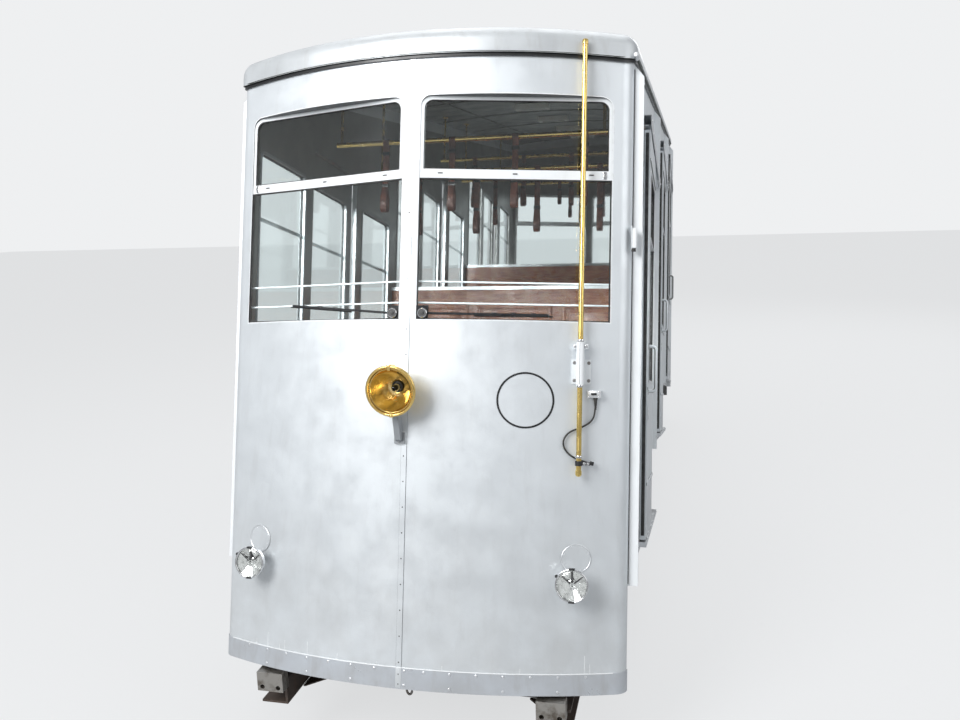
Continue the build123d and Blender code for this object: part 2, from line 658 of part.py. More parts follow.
for end in ENDS:
    tilt = Rot(-SLOPE_DEG if end["far"] else SLOPE_DEG, 0, 0)
    lamps.append(turned_to(end, on_nose(LAMP_X, LAMP_Z, LAMP_OUT, tilt * bowl)))
    bulbs.append(turned_to(end, on_nose(LAMP_X, LAMP_Z, LAMP_OUT, tilt * bulb)))
    foot = blk(-FOOT_W / 2, FOOT_W / 2, -STRIP_T - 14, WALL_T, -30, 26)
    arm_top = LAMP_Z - FOOT_Z - LAMP_R / 2
    leaning = [(-10, -20), (-10, 20), (-62, arm_top), (-118, arm_top), (-44, -10)]
    arm = side_prism(leaning, -STEM_W / 2, STEM_W / 2)
    stem = on_nose(LAMP_X, FOOT_Z, 0, foot + arm) - on_nose(LAMP_X, LAMP_Z, LAMP_OUT, tilt * full_bowl)
    stems.append(turned_to(end, stem - solid_nose - strip_shape))
    drum = Pos(RING_X, 0, RING_Z) * push_back(Circle(RING_R) - Circle(RING_R - RING_W), -OVER, END_L)
    rings.append(turned_to(end, nose_skin(-RING_T, 0, 0, GUTTER_Z) & drum))
    for s in (-1, 1):
        marks.append(turned_to(end, on_nose(s * MARKER_X, MARKER_Z, MARKER_OUT, case)))
        lens = rod(0, LENS_T / 2 + 4, 0, "y", lens_r, LENS_T)
        lenses.append(turned_to(end, on_nose(s * MARKER_X, MARKER_Z, MARKER_OUT, lens)))
        plate = Pos(s * COVER_X, 0, COVER_Z) * push_back(Circle(COVER_R), -OVER, END_L)
        covers.append(turned_to(end, nose_skin(-COVER_T, 0, 0, GUTTER_Z) & plate))
        post = rod(0, MARKER_DEPTH + 45, 0, "y", 13, 90)
        foot = blk(-24, 24, MARKER_OUT - 4, MARKER_OUT + 34, -46, 12)
        stem = on_nose(s * MARKER_X, MARKER_Z, MARKER_OUT, post + foot) - solid_nose
        stems.append(turned_to(end, stem))
body["headlamp_shells"] = pieces(*lamps)
body["headlamp_bulbs"] = pieces(*bulbs)
body["number_rings"] = pieces(*rings)
body["marker_lamp_shells"] = pieces(*marks)
body["marker_lamp_lenses"] = pieces(*lenses)
body["cover_plates"] = pieces(*covers)
body["lamp_brackets"] = pieces(*stems)

# signal pole, its guide, socket and cable, on the downhill end
pole_y = nose_y(POLE_X) - POLE_OFF
guide_mid = (GUIDE_Z0 + GUIDE_Z1) / 2
body["signal_pole"] = rod(POLE_X, pole_y, (POLE_Z0 + POLE_Z1) / 2, "z", POLE_D / 2, POLE_Z1 - POLE_Z0)
bore = rod(POLE_X, pole_y, guide_mid, "z", POLE_D / 2, 2 * (GUIDE_Z1 - GUIDE_Z0))
tube = rod(POLE_X, pole_y, guide_mid, "z", GUIDE_D / 2, GUIDE_Z1 - GUIDE_Z0)
plate_z = GUIDE_Z0 + 4
plate = nose_skin(-GUIDE_PLATE_T, 0, plate_z, plate_z + GUIDE_PLATE_H)
plate = plate & blk(POLE_X - GUIDE_PLATE_W / 2, POLE_X + GUIDE_PLATE_W / 2, -OVER, END_L, 0, TALL)
wall_y = pole_y + POLE_OFF + WALL_T
rib = blk(POLE_X - 17, POLE_X + 17, pole_y, wall_y, plate_z, plate_z + GUIDE_PLATE_H)
lug = blk(POLE_X - 34, POLE_X + 34, pole_y + 8, wall_y, GUIDE_Z1 - 34, GUIDE_Z1 - 10)
body["pole_guide"] = (tube + plate + rib + lug) - bore - solid_nose

# cable route: X, height and stand-off from the bowed wall, from socket to clamp
CABLE_POINTS = [(940, 1466, 16), (940, 1408, 16), (928, 1350, 15), (874, 1316, 15), (812, 1294, 15),
                (783, 1243, 15), (806, 1188, 15), (866, 1154, 15), (918, 1142, 22)]
route = [Vector(x, nose_y(x) - off, z) for x, z, off in CABLE_POINTS]
radii = []
for a, b, c in zip(route, route[1:], route[2:]):
    turn = (b - a).get_angle(c - b)
    radii.append(round(0.45 * min((b - a).length, (c - b).length) / tan(radians(turn) / 2), 1))
path = FilletPolyline(*route, radius=radii)
cable = sweep(Plane(origin=route[0], z_dir=route[1] - route[0]) * Circle(CABLE_D / 2), path=path)
print("cable radii", radii, "length", round(path.length, 1))
body["signal_cable"] = cable
sx, sz = CABLE_POINTS[0][0], CABLE_POINTS[0][1]
body["cable_socket"] = blk(sx - 40, sx + 26, nose_y(sx) - 30, nose_y(sx) + OVER, sz, sz + 36) - solid_nose
cx, cz = CABLE_POINTS[-1][0], CABLE_POINTS[-1][1]
last_run = (route[-1] - route[-2]).normalized()
clip = rod(POLE_X, pole_y, cz, "z", POLE_D / 2 + 5, 24) - rod(POLE_X, pole_y, cz, "z", POLE_D / 2, 26)
eye = Plane(origin=route[-1] + last_run * 9, z_dir=last_run) * Cylinder(10, 18)
bridge = blk(POLE_X + POLE_D / 2 + 2, cx + 6, pole_y - 5, pole_y + 5, cz - 8, cz + 8)
body["cable_clamp"] = clip + bridge + eye


def beam_top(y, up=0.0):
    return y * CLIMB - BEAM_TOP / cos(SLOPE) + up


# open frames that carry the level floors on the sloping beams
stools = []
for i in range(BAY_COUNT):
    ya = post_y[i] + RISER_T if i else post_y[i] - RISER_T
    yb = post_y[i + 1]
    top = floor_z(i) - FLOOR_T
    # the holes stop where the frame grows too low for them
    low_frame = (top - beam_top(0) - 2 * STOOL_EDGE - 3 * STOOL_HOLE_R) / CLIMB
    y_mid = ya + (yb - ya) * 0.45
    y_last = min(low_frame, yb - STOOL_EDGE)
    spans = [(ya + STOOL_EDGE, y_mid - STOOL_EDGE / 2), (y_mid + STOOL_EDGE / 2, y_last)]
    for s in (-1, 1):
        xa, xb = s * BEAM_X - STOOL_T / 2, s * BEAM_X + STOOL_T / 2
        web = side_prism([(ya, beam_top(ya)), (yb, beam_top(yb)), (yb, top), (ya, top)], xa, xb)
        for h0, h1 in spans:
            z0, z1, z2 = beam_top(h0, STOOL_EDGE), beam_top(h1, STOOL_EDGE), top - STOOL_EDGE
            hole = side_prism([(h0, z0), (h1, z1), (h1, z2), (h0, z2)], xa - 1, xb + 1)
            web -= fillet(hole.edges().filter_by(Axis.X), STOOL_HOLE_R)
        stools.append(web)
body["step_frames"] = pieces(*stools)

# running gear: channel beams open outwards, a drilled block ahead of each, and cross members
beam_low = -BEAM_TOP - BEAM_H
beams = []
blocks = []
for s in (-1, 1):
    x_in, x_out = s * (BEAM_X - BEAM_W / 2), s * (BEAM_X + BEAM_W / 2)
    beam = blk(x_in, x_out, BEAM_Y0, BEAM_Y1, beam_low, -BEAM_TOP)
    x_web, x_open = x_in + s * BEAM_T, x_out + s * BEAM_T
    beams.append(beam - blk(x_web, x_open, BEAM_Y0 - 1, BEAM_Y1 + 1, beam_low + BEAM_T, -BEAM_TOP - BEAM_T))
    x = s * BLOCK_X
    block = blk(x - BLOCK_W / 2, x + BLOCK_W / 2, BEAM_Y0 - BLOCK_T, BEAM_Y0, -BLOCK_LOW, -BLOCK_TOP)
    for hole_x in (x - BLOCK_HOLE_OUT, x + BLOCK_HOLE_OUT):
        block -= rod(hole_x, BEAM_Y0 - BLOCK_T, -BLOCK_LOW + BLOCK_HOLE_UP, "y", BLOCK_HOLE_R, BLOCK_T)
    blocks.append(block)
gear["longitudinal_beams"] = pieces(*beams)
gear["jacking_blocks"] = pieces(*blocks)
cross_pitch = (BEAM_Y1 - BEAM_Y0 - CROSS_W) / (CROSS_COUNT - 1)
cross_y = [BEAM_Y0 + CROSS_W / 2 + k * cross_pitch for k in range(CROSS_COUNT)]
cross_y[0] += CROSS_BACK
span = BEAM_X - BEAM_W / 2
crosses = [blk(-span, span, y - CROSS_W / 2, y + CROSS_W / 2, beam_low, -BEAM_TOP) for y in cross_y]
gear["cross_members"] = pieces(*crosses)

# wheelsets: a double-flanged wheel on the right rail, a plain roller on the left
wheel_z = -RAIL_DROP + WHEEL_R + FLANGE_H
last_axle = FIRST_AXLE + WHEELBASE
half_gauge = GAUGE / 2 + TREAD_W / 2
flange = WHEEL_R + FLANGE_H
rim_in = WHEEL_R - RIM_T
axle_end = BEAM_X + AXLE_BOX_L / 2 - BOX_WALL - AXLE_CLEAR
roller_in, roller_out = half_gauge - ROLLER_TREAD_W / 2, half_gauge + ROLLER_TREAD_W / 2
tread_in, tread_out = half_gauge - TREAD_W / 2, half_gauge + TREAD_W / 2
wheel_in, wheel_out = tread_in - FLANGE_T, tread_out + FLANGE_T
hub_r, axle_r, journal_r = HUB_D / 2, AXLE_D / 2, JOURNAL_D / 2
hub_l, hub_m = roller_out + HUB_END, roller_in - HUB_END
side_l, side_m = roller_out - HUB_SIDE, roller_in + HUB_SIDE
left_half = [(-axle_end, 0), (-axle_end, journal_r), (-hub_l, journal_r), (-hub_l, hub_r), (-side_l, hub_r),
             (-side_l, rim_in), (-roller_out, rim_in), (-roller_out, flange), (-roller_in, flange),
             (-roller_in, rim_in), (-side_m, rim_in), (-side_m, hub_r), (-hub_m, hub_r), (-hub_m, axle_r)]
right_half = [(wheel_in - HUB_END, axle_r), (wheel_in - HUB_END, hub_r), (tread_in + WEB_IN, hub_r),
              (tread_in + WEB_IN, rim_in), (wheel_in, rim_in), (wheel_in, flange - WEB_IN),
              (wheel_in + WEB_IN, flange), (tread_in - FLANGE_RUN, flange), (tread_in, WHEEL_R),
              (tread_out, WHEEL_R), (tread_out + FLANGE_RUN, flange), (wheel_out - WEB_IN, flange),
              (wheel_out, flange - WEB_IN), (wheel_out, rim_in), (tread_out - WEB_IN, rim_in),
              (tread_out - WEB_IN, hub_r), (wheel_out + HUB_END, hub_r), (wheel_out + HUB_END, journal_r),
              (axle_end, journal_r), (axle_end, 0)]
wheelset = revolve(Plane.XY * Polygon(*left_half, *right_half, align=None), Axis.X)
gear["wheelset_downhill"] = Pos(0, FIRST_AXLE, wheel_z) * wheelset
gear["wheelset_uphill"] = Pos(0, last_axle, wheel_z) * wheelset

# axle boxes, bolted under the beams
boxes = []
for y in (FIRST_AXLE, last_axle):
    for s in (-1, 1):
        x = s * BEAM_X
        half_l, half_w = AXLE_BOX_L / 2, AXLE_BOX_W / 2
        block = blk(x - half_l, x + half_l, y - half_w, y + half_w, wheel_z - AXLE_BOX_DROP, beam_low)
        bore_l = AXLE_BOX_L - BOX_WALL
        boxes.append(block - rod(x - s * BOX_WALL / 2, y, wheel_z, "x", JOURNAL_D / 2 + JOURNAL_CLEAR, bore_l))
gear["axle_boxes"] = pieces(*boxes)

# track brakes that straddle the rails, and the haul rope's anchor under the last cross member
brakes = []
jaw_low = -RAIL_DROP + JAW_CLEAR
brake_y = cross_y[1]
for s in (-1, 1):
    x = s * half_gauge
    reach = JAW_GAP / 2 + JAW_T
    yoke = blk(x - reach, x + reach, brake_y - CROSS_W / 2, brake_y + CROSS_W / 2, jaw_low, beam_low)
    half = JAW_GAP / 2
    yoke -= blk(x - half, x + half, brake_y - CROSS_W, brake_y + CROSS_W, jaw_low - 1, jaw_low + JAW_H)
    brakes.append(yoke)
gear["track_brakes"] = pieces(*brakes)
ay = BEAM_Y1 - CROSS_W
tang = side_prism([(ay, beam_low), (ay, beam_low - ANCHOR_NOSE), (ay + ANCHOR_NOSE, beam_low - ANCHOR_DROP),
                   (ay + ANCHOR_L, beam_low - ANCHOR_DROP), (ay + ANCHOR_L, beam_low - ANCHOR_NOSE / 2),
                   (ay + CROSS_W, beam_low)], -ANCHOR_T / 2, ANCHOR_T / 2)
ANCHOR_Y = ay + ANCHOR_L - ANCHOR_CHEEK
ANCHOR_Z = beam_low - ANCHOR_DROP + ROPE_PIN_RISE
gear["haul_rope_anchor"] = tang - rod(0, ANCHOR_Y, ANCHOR_Z, "x", ROPE_PIN_R, ANCHOR_T + 2)

# onto the track's frame, then to the ground and to the middle of the plan
CORDS = ("signal_cable",)
final = {}
for name, shape in {**body, **doors}.items():
    final[name] = [Rot(-SLOPE_DEG, 0, 0) * s for s in shape.solids()]
for name, shape in gear.items():
    final[name] = shape.solids()
rigid = [s.bounding_box() for name, group in final.items() if name not in CORDS for s in group]
Y_MID = (min(b.min.Y for b in rigid) + max(b.max.Y for b in rigid)) / 2
print("track frame shift", round(Y_MID, 3))
for name, group in final.items():
    group = [Pos(0, -Y_MID, RAIL_DROP) * s for s in group]
    shape = group[0] if len(group) == 1 else Compound(group)
    export_step(shape, "parts/" + name + ".step")
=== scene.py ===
import random
from math import atan, cos, pi, radians, sin, sqrt, tan

import bpy
from mathutils import Matrix, Vector


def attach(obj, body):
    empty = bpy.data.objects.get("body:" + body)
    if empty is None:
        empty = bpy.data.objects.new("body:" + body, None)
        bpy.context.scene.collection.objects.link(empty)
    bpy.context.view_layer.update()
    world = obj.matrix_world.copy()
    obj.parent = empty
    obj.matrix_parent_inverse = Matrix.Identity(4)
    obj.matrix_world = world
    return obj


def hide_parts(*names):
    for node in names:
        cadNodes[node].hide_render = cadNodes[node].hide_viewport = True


# A stepped funicular car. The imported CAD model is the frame, and the looks are built around it.
# Lengths are in metres, but in millimetres inside mm(). Most fittings are set out level (x across,
# y uphill, z up, from the foot of the downhill nose) and then leaned with the track onto the car.

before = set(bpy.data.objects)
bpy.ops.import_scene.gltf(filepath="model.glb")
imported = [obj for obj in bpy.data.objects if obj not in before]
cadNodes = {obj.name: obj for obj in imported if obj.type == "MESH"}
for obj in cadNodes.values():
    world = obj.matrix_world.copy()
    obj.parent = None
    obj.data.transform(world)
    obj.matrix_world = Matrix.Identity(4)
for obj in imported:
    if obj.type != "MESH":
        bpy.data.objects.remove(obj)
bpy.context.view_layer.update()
random.seed(13)

# the car's own sizes, as its source has them
car = {
    "slope": radians(13),
    "midLength": 4.42708,
    "railDrop": 0.56,
    "bodyLength": 7.9,
    "halfWidth": 1.1,
    "bowRadius": (1.1 ** 2 + 0.26 ** 2) / 0.52,
    "bay": 2.42,
    "endLength": 0.32,
    "floor": 0.63,
    "rearLift": 2 * 2.42 * tan(radians(13)),
    "rearLow": 7.9 * tan(radians(13)) - 0.3 - 2 * 2.42 * tan(radians(13)),
}
climb = tan(car["slope"])


def at(x, y, z):
    return Matrix.Translation((x, y, z))


def turned(degrees, axis):
    return Matrix.Rotation(radians(degrees), 4, axis)


trackToCar = at(0, -car["midLength"], car["railDrop"])
levelToCar = trackToCar @ Matrix.Rotation(-car["slope"], 4, "X")
rearTurn = at(0, car["bodyLength"], car["rearLift"]) @ turned(180, "Z")
inPlace = [Matrix.Identity(4)]
ends = inPlace + [rearTurn]
bayFloors = [car["floor"] + bay * car["bay"] * climb for bay in range(3)]
postPlaces = [car["endLength"] + bay * car["bay"] for bay in range(4)]


def levelPoint(x, y, z):
    return levelToCar @ Vector((x, y, z))


def bowY(x, inset=0.0):
    # how far back the bowed end wall lies at x
    return car["bowRadius"] - sqrt((car["bowRadius"] - inset) ** 2 - x * x)


# camera
cameraView = {"place": levelPoint(1.393, -4.137, 1.465), "turn": (79.737, 1.884, 13.571), "lens": 32.28}
cameraData = bpy.data.cameras.new("carCamera")
cameraData.lens = cameraView["lens"]
cameraData.sensor_width = 36
cameraData.clip_end = 200
carCamera = bpy.data.objects.new("carCamera", cameraData)
bpy.context.scene.collection.objects.link(carCamera)
carCamera.location = cameraView["place"]
carCamera.rotation_euler = [radians(a) for a in cameraView["turn"]]
bpy.context.scene.camera = carCamera

# signal cable, from the socket down behind the pole to its clamp
signalCable = {
    "points": [(0.94, 0.1709, 1.466), (0.94, 0.1709, 1.408), (0.928, 0.167, 1.35), (0.874, 0.1457, 1.316),
        (0.812, 0.1231, 1.294), (0.783, 0.1131, 1.243), (0.806, 0.121, 1.188), (0.866, 0.1427, 1.154),
        (0.918, 0.1559, 1.142)],
    "diameter": 0.009,
    "length": 0.489,
}
cableCurve = bpy.data.curves.new("signalCable", "CURVE")
cableCurve.dimensions = "3D"
cableLine = cableCurve.splines.new("NURBS")
cableLine.points.add(len(signalCable["points"]) - 1)
for knot, place in zip(cableLine.points, signalCable["points"]):
    knot.co = (*levelPoint(*place), 1)
cableLine.order_u = 3
cableLine.use_endpoint_u = True
cableLine.resolution_u = 12
cableCurve.bevel_depth = signalCable["diameter"] / 2
cableCurve.bevel_resolution = 4
cableCurve.use_fill_caps = True
cable = bpy.data.objects.new("signalCableCord", cableCurve)
bpy.context.scene.collection.objects.link(cable)
print("camera and cable ready")


# finishes
def newFinish(name, colour, metallic, roughness):
    mat = bpy.data.materials.new(name)
    mat.use_nodes = True
    shader = mat.node_tree.nodes["Principled BSDF"]
    shader.inputs["Base Color"].default_value = (*colour, 1)
    shader.inputs["Metallic"].default_value = metallic
    shader.inputs["Roughness"].default_value = roughness
    return mat


def addNode(mat, kind, **values):
    node = mat.node_tree.nodes.new("ShaderNode" + kind)
    for name, value in values.items():
        key = name.replace("_", " ")
        if isinstance(value, bpy.types.NodeSocket):
            mat.node_tree.links.new(value, node.inputs[key])
        elif key in node.inputs:
            node.inputs[key].default_value = value
        else:
            setattr(node, name, value)
    return node


def carPlace(mat, stretch=(1, 1, 1)):
    coords = addNode(mat, "TexCoord").outputs["Object"]
    return addNode(mat, "Mapping", Vector=coords, Scale=stretch).outputs[0]


def noise(mat, scale, detail=3.0, rough=0.55, stretch=(1, 1, 1)):
    return addNode(mat, "TexNoise", Vector=carPlace(mat, stretch), Scale=scale, Detail=detail,
        Roughness=rough).outputs[0]


def ramp(mat, value, low, high, fromLow=0.35, fromHigh=0.65):
    node = addNode(mat, "MapRange", Value=value, From_Min=fromLow, From_Max=fromHigh, To_Min=low,
        To_Max=high)
    return node.outputs[0]


def mathValue(mat, kind, first, second):
    node = addNode(mat, "Math", operation=kind)
    for index, value in enumerate((first, second)):
        if isinstance(value, bpy.types.NodeSocket):
            mat.node_tree.links.new(value, node.inputs[index])
        else:
            node.inputs[index].default_value = value
    return node.outputs[0]


def times(mat, first, second):
    return mathValue(mat, "MULTIPLY", first, second)


def mixed(mat, share, first, second):
    node = mat.node_tree.nodes.new("ShaderNodeMix")
    node.data_type = "RGBA"
    for index, value in ((0, share), (6, first), (7, second)):
        if isinstance(value, bpy.types.NodeSocket):
            mat.node_tree.links.new(value, node.inputs[index])
        else:
            node.inputs[index].default_value = value if index == 0 else (*value, 1)
    return node.outputs[2]


def edgeShare(mat, radius):
    # 1 along the outer edges of a piece and 0 on its faces
    softened = addNode(mat, "Bevel", samples=4, Radius=radius).outputs[0]
    plain = addNode(mat, "NewGeometry").outputs["Normal"]
    dot = addNode(mat, "VectorMath", operation="DOT_PRODUCT")
    mat.node_tree.links.new(softened, dot.inputs[0])
    mat.node_tree.links.new(plain, dot.inputs[1])
    return ramp(mat, dot.outputs["Value"], 1.0, 0.0, 0.78, 0.97)


def relief(mat, height, strength, distance, under=None):
    node = addNode(mat, "Bump", Strength=strength, Distance=distance, Height=height)
    if under is not None:
        mat.node_tree.links.new(under, node.inputs["Normal"])
    return node.outputs[0]


def plug(mat, **sockets):
    shader = mat.node_tree.nodes["Principled BSDF"]
    for name, value in sockets.items():
        mat.node_tree.links.new(value, shader.inputs[name.replace("_", " ")])


def mixSurfaces(owner, share, first, second, output="Material Output"):
    node = addNode(owner, "MixShader")
    for index, value in enumerate((share, first, second)):
        owner.node_tree.links.new(value, node.inputs[index])
    owner.node_tree.links.new(node.outputs[0], owner.node_tree.nodes[output].inputs["Surface"])


def seenShare(owner):
    # 1 for what the camera sees, straight or through glass
    rays = addNode(owner, "LightPath")
    return mathValue(owner, "MAXIMUM", rays.outputs["Is Camera Ray"], rays.outputs["Is Transmission Ray"])


def lowGrime(mat, top, bottom):
    # grime that grows towards the track, broken up by noise
    height = addNode(mat, "SeparateXYZ", Vector=addNode(mat, "TexCoord").outputs["Object"]).outputs[2]
    rise = ramp(mat, height, 0.0, 1.0, top, bottom)
    return times(mat, rise, ramp(mat, noise(mat, 5.0, 6), 0.25, 1.0))


def shadeAndLiningShare(mat, cross, along, down):
    # 1 on faces that look into the cabin: towards the car's middle across or along it, or down. These faces
    #                                      get painted shade, and on the roof's ceiling also its real lining
    #                                      colour
    coords = addNode(mat, "TexCoord")
    normal = addNode(mat, "SeparateXYZ", Vector=coords.outputs["Normal"])
    place = addNode(mat, "SeparateXYZ", Vector=coords.outputs["Object"])
    shares = []
    for axis, limit in ((0, cross), (1, along)):
        if limit:
            product = times(mat, normal.outputs[axis], place.outputs[axis])
            shares.append(mathValue(mat, "LESS_THAN", product, limit))
    if down:
        shares.append(mathValue(mat, "LESS_THAN", normal.outputs[2], down))
    share = shares[0]
    for other in shares[1:]:
        share = mathValue(mat, "MAXIMUM", share, other)
    return share


def paintedMetal(name, **changes):
    look = {**paint, **changes}
    mat = newFinish(name, look["colour"], look["metallic"], look["roughness"])
    clouds = ramp(mat, noise(mat, look["cloudScale"], 5), 0.0, 1.0)
    base = mixed(mat, clouds, [c * (1 - look["cloud"]) for c in look["colour"]], look["colour"])
    runs = ramp(mat, noise(mat, 1.0, 4, 0.6, (22, 22, 0.9)), 0.0, look["runs"], 0.52, 0.78)
    base = mixed(mat, runs, base, look["dirt"])
    grime = times(mat, lowGrime(mat, look["grimeTop"], look["grimeLow"]), look["grime"])
    base = mixed(mat, grime, base, look["dirt"])
    chips = times(mat, edgeShare(mat, look["edgeWidth"]),
        ramp(mat, noise(mat, 38, 5), 0.0, look["edgeWear"], 0.5, 0.62))
    base = mixed(mat, chips, base, look["bare"])
    # painted shade: faces that look into the cabin or down take the darker colour given as inside (held in
    # lining); only on the roof's ceiling is it a real lining colour
    if "inside" in look:
        lining = mixed(mat, clouds, look["inside"], [c * 1.25 for c in look["inside"]])
        base = mixed(mat, shadeAndLiningShare(mat, *look["insideLimits"]), base, lining)
    shine = ramp(mat, noise(mat, 7, 5), look["roughness"] - 0.07, look["roughness"] + 0.09)
    peel = relief(mat, noise(mat, 420, 2), look["peel"], 0.0004)
    dents = relief(mat, noise(mat, look["dentScale"], 2), look["dents"], 0.006, peel)
    plug(mat, Base_Color=base, Roughness=shine, Normal=dents)
    return mat


def bareMetal(name, **changes):
    look = {**metal, **changes}
    mat = newFinish(name, look["colour"], look["metallic"], look["roughness"])
    patches = ramp(mat, noise(mat, look["patchScale"], 6, 0.62), 0.0, look["patches"], 0.46, 0.66)
    base = mixed(mat, patches, look["colour"], look["tarnish"])
    worn = times(mat, edgeShare(mat, look["edgeWidth"]), look["edgeWear"])
    base = mixed(mat, worn, base, look["bare"])
    shine = ramp(mat, noise(mat, look["patchScale"] * 1.7, 5), look["roughness"] - 0.06,
        look["roughness"] + look["roughSpread"])
    fine = relief(mat, noise(mat, 260, 3, 0.6, look["brush"]), look["grain"], 0.0004)
    plug(mat, Base_Color=base, Roughness=shine, Normal=fine)
    return mat


paint = {"metallic": 0.0, "cloudScale": 1.6, "cloud": 0.1, "runs": 0.1, "dirt": (0.3, 0.28, 0.25),
    "grimeTop": 1.1, "grimeLow": 0.55, "grime": 0.22, "edgeWidth": 0.004, "edgeWear": 0.5,
    "bare": (0.36, 0.35, 0.34), "peel": 0.1, "dentScale": 2.6, "dents": 0.16}
metal = {"metallic": 1.0, "patchScale": 11, "patches": 0.5, "edgeWidth": 0.003, "edgeWear": 0.4,
    "roughSpread": 0.12, "brush": (1, 1, 1), "grain": 0.1}
finishes = {
    # silver paint with painted shade: dark grey (inside) on faces that look into the cabin or down
    "silver_paint": paintedMetal("silverPaint", colour=(0.74, 0.78, 0.81), metallic=0.4, roughness=0.36,
        inside=(0.2, 0.205, 0.2), insideLimits=(-0.3, -1.5, -0.6), dents=0.2, cloud=0.06, grimeTop=1.6,
        grime=0.3),
    "bandPaint": paintedMetal("bandPaint", colour=(0.6, 0.64, 0.69), metallic=0.4, roughness=0.34,
        dents=0.5, dentScale=6, runs=0.25, grime=0.35, edgeWear=0.9),
    "white_paint": paintedMetal("whitePaint", colour=(0.82, 0.85, 0.87), roughness=0.38, cloud=0.07,
        dents=0.05),
    # the window frames' paint: the white paint again, with painted shade, dark grey (inside), on the
    # reveals' soffits and on the jambs that face the car's middle
    "framePaint": paintedMetal("framePaint", colour=(0.82, 0.85, 0.87), roughness=0.38, cloud=0.07,
        dents=0.05, inside=(0.1, 0.105, 0.11), insideLimits=(-0.25, 0, -0.5)),
    # roof paint: faces looking down take a dark colour (inside), the real lining on the ceiling and painted
    # shade under the eaves
    "roof_paint": paintedMetal("roofPaint", colour=(0.62, 0.65, 0.67), metallic=0.4, roughness=0.4,
        cloud=0.14, runs=0.22, grime=0.0, inside=(0.045, 0.05, 0.04), insideLimits=(0, 0, -0.2)),
    "grey_paint": paintedMetal("greyPaint", colour=(0.3, 0.32, 0.34), roughness=0.45, edgeWear=0.8,
        dents=0.05),
    "black_paint": paintedMetal("blackPaint", colour=(0.016, 0.017, 0.019), roughness=0.34, cloud=0.3,
        dirt=(0.09, 0.085, 0.08), dents=0.03, bare=(0.16, 0.16, 0.16)),
    "frame_steel": paintedMetal("frameSteel", colour=(0.085, 0.082, 0.08), metallic=0.25, roughness=0.58,
        cloud=0.45, runs=0.45, cloudScale=6, dirt=(0.17, 0.085, 0.04), grime=0.55, grimeTop=0.7,
        grimeLow=0.1, edgeWear=1.0, bare=(0.3, 0.27, 0.25), peel=0.35),
    "wheel_steel": bareMetal("wheelSteel", colour=(0.33, 0.32, 0.31), roughness=0.34,
        tarnish=(0.12, 0.075, 0.045), patches=0.8, bare=(0.55, 0.54, 0.53), grain=0.25),
    "brass": bareMetal("brass", colour=(0.8, 0.57, 0.2), roughness=0.22, patches=0.28, patchScale=6,
        tarnish=(0.44, 0.3, 0.13), bare=(0.95, 0.78, 0.42)),
    "paleBrass": bareMetal("paleBrass", colour=(0.8, 0.6, 0.21), roughness=0.22, patches=0.35,
        patchScale=7, tarnish=(0.52, 0.35, 0.11), bare=(0.9, 0.74, 0.36), grain=0.02),
    "wornSteel": bareMetal("wornSteel", colour=(0.42, 0.4, 0.37), roughness=0.42, patches=0.85,
        patchScale=16, tarnish=(0.13, 0.105, 0.08), bare=(0.62, 0.6, 0.57), grain=0.5, edgeWear=0.8),
    "lampMirror": bareMetal("lampMirror", colour=(0.74, 0.75, 0.75), roughness=0.07, patches=0.7,
        patchScale=34, tarnish=(0.3, 0.3, 0.3), bare=(0.9, 0.9, 0.9), grain=0.02, roughSpread=0.05),
    "reflector": bareMetal("lampReflector", colour=(0.86, 0.62, 0.22), roughness=0.13, patches=0.3,
        tarnish=(0.7, 0.5, 0.22), bare=(0.95, 0.8, 0.5), patchScale=18, grain=0.03),
    "chrome": bareMetal("chrome", colour=(0.74, 0.75, 0.76), roughness=0.12, patches=0.25,
        tarnish=(0.55, 0.55, 0.54), bare=(0.92, 0.92, 0.92), grain=0.02, roughSpread=0.06),
    "aluminium": bareMetal("aluminium", colour=(0.76, 0.78, 0.8), metallic=0.85, roughness=0.34,
        patches=0.22, patchScale=5, tarnish=(0.58, 0.59, 0.6), bare=(0.85, 0.86, 0.87),
        brush=(0.15, 0.15, 3), grain=0.2),
    "glass": newFinish("windowGlass", (0.9, 0.95, 0.95), 0.0, 0.02),
    "lens_glass": newFinish("lensGlass", (0.95, 0.96, 0.95), 0.0, 0.04),
    "varnished_wood": newFinish("varnishedWood", (0.3, 0.12, 0.06), 0.0, 0.3),
    "floor_cover": newFinish("floorCover", (0.08, 0.08, 0.085), 0.0, 0.7),
    "lamp_white": newFinish("lampWhite", (0.92, 0.91, 0.86), 0.0, 0.35),
    "black_rubber": newFinish("blackRubber", (0.02, 0.02, 0.02), 0.0, 0.6),
    "leather": newFinish("strapLeather", (0.2, 0.06, 0.025), 0.0, 0.45),
    "headliner": newFinish("headliner", (0.055, 0.06, 0.045), 0.0, 0.7),
    "dialFace": newFinish("dialFace", (0.85, 0.84, 0.78), 0.0, 0.3),
}

# glass with a little dust on it, which casts no dark shadow
for slotName in ("glass", "lens_glass"):
    mat = finishes[slotName]
    pane = mat.node_tree.nodes["Principled BSDF"]
    pane.inputs["Transmission Weight"].default_value = 1
    pane.inputs["IOR"].default_value = 1.45
    dust = ramp(mat, noise(mat, 3.5, 7, 0.7), 0.01, 0.07, 0.4, 0.75)
    plug(mat, Roughness=dust, Normal=relief(mat, noise(mat, 1.8, 2), 0.08, 0.004))
    mixSurfaces(mat, addNode(mat, "LightPath").outputs["Is Shadow Ray"], pane.outputs[0],
        addNode(mat, "BsdfTransparent").outputs[0])

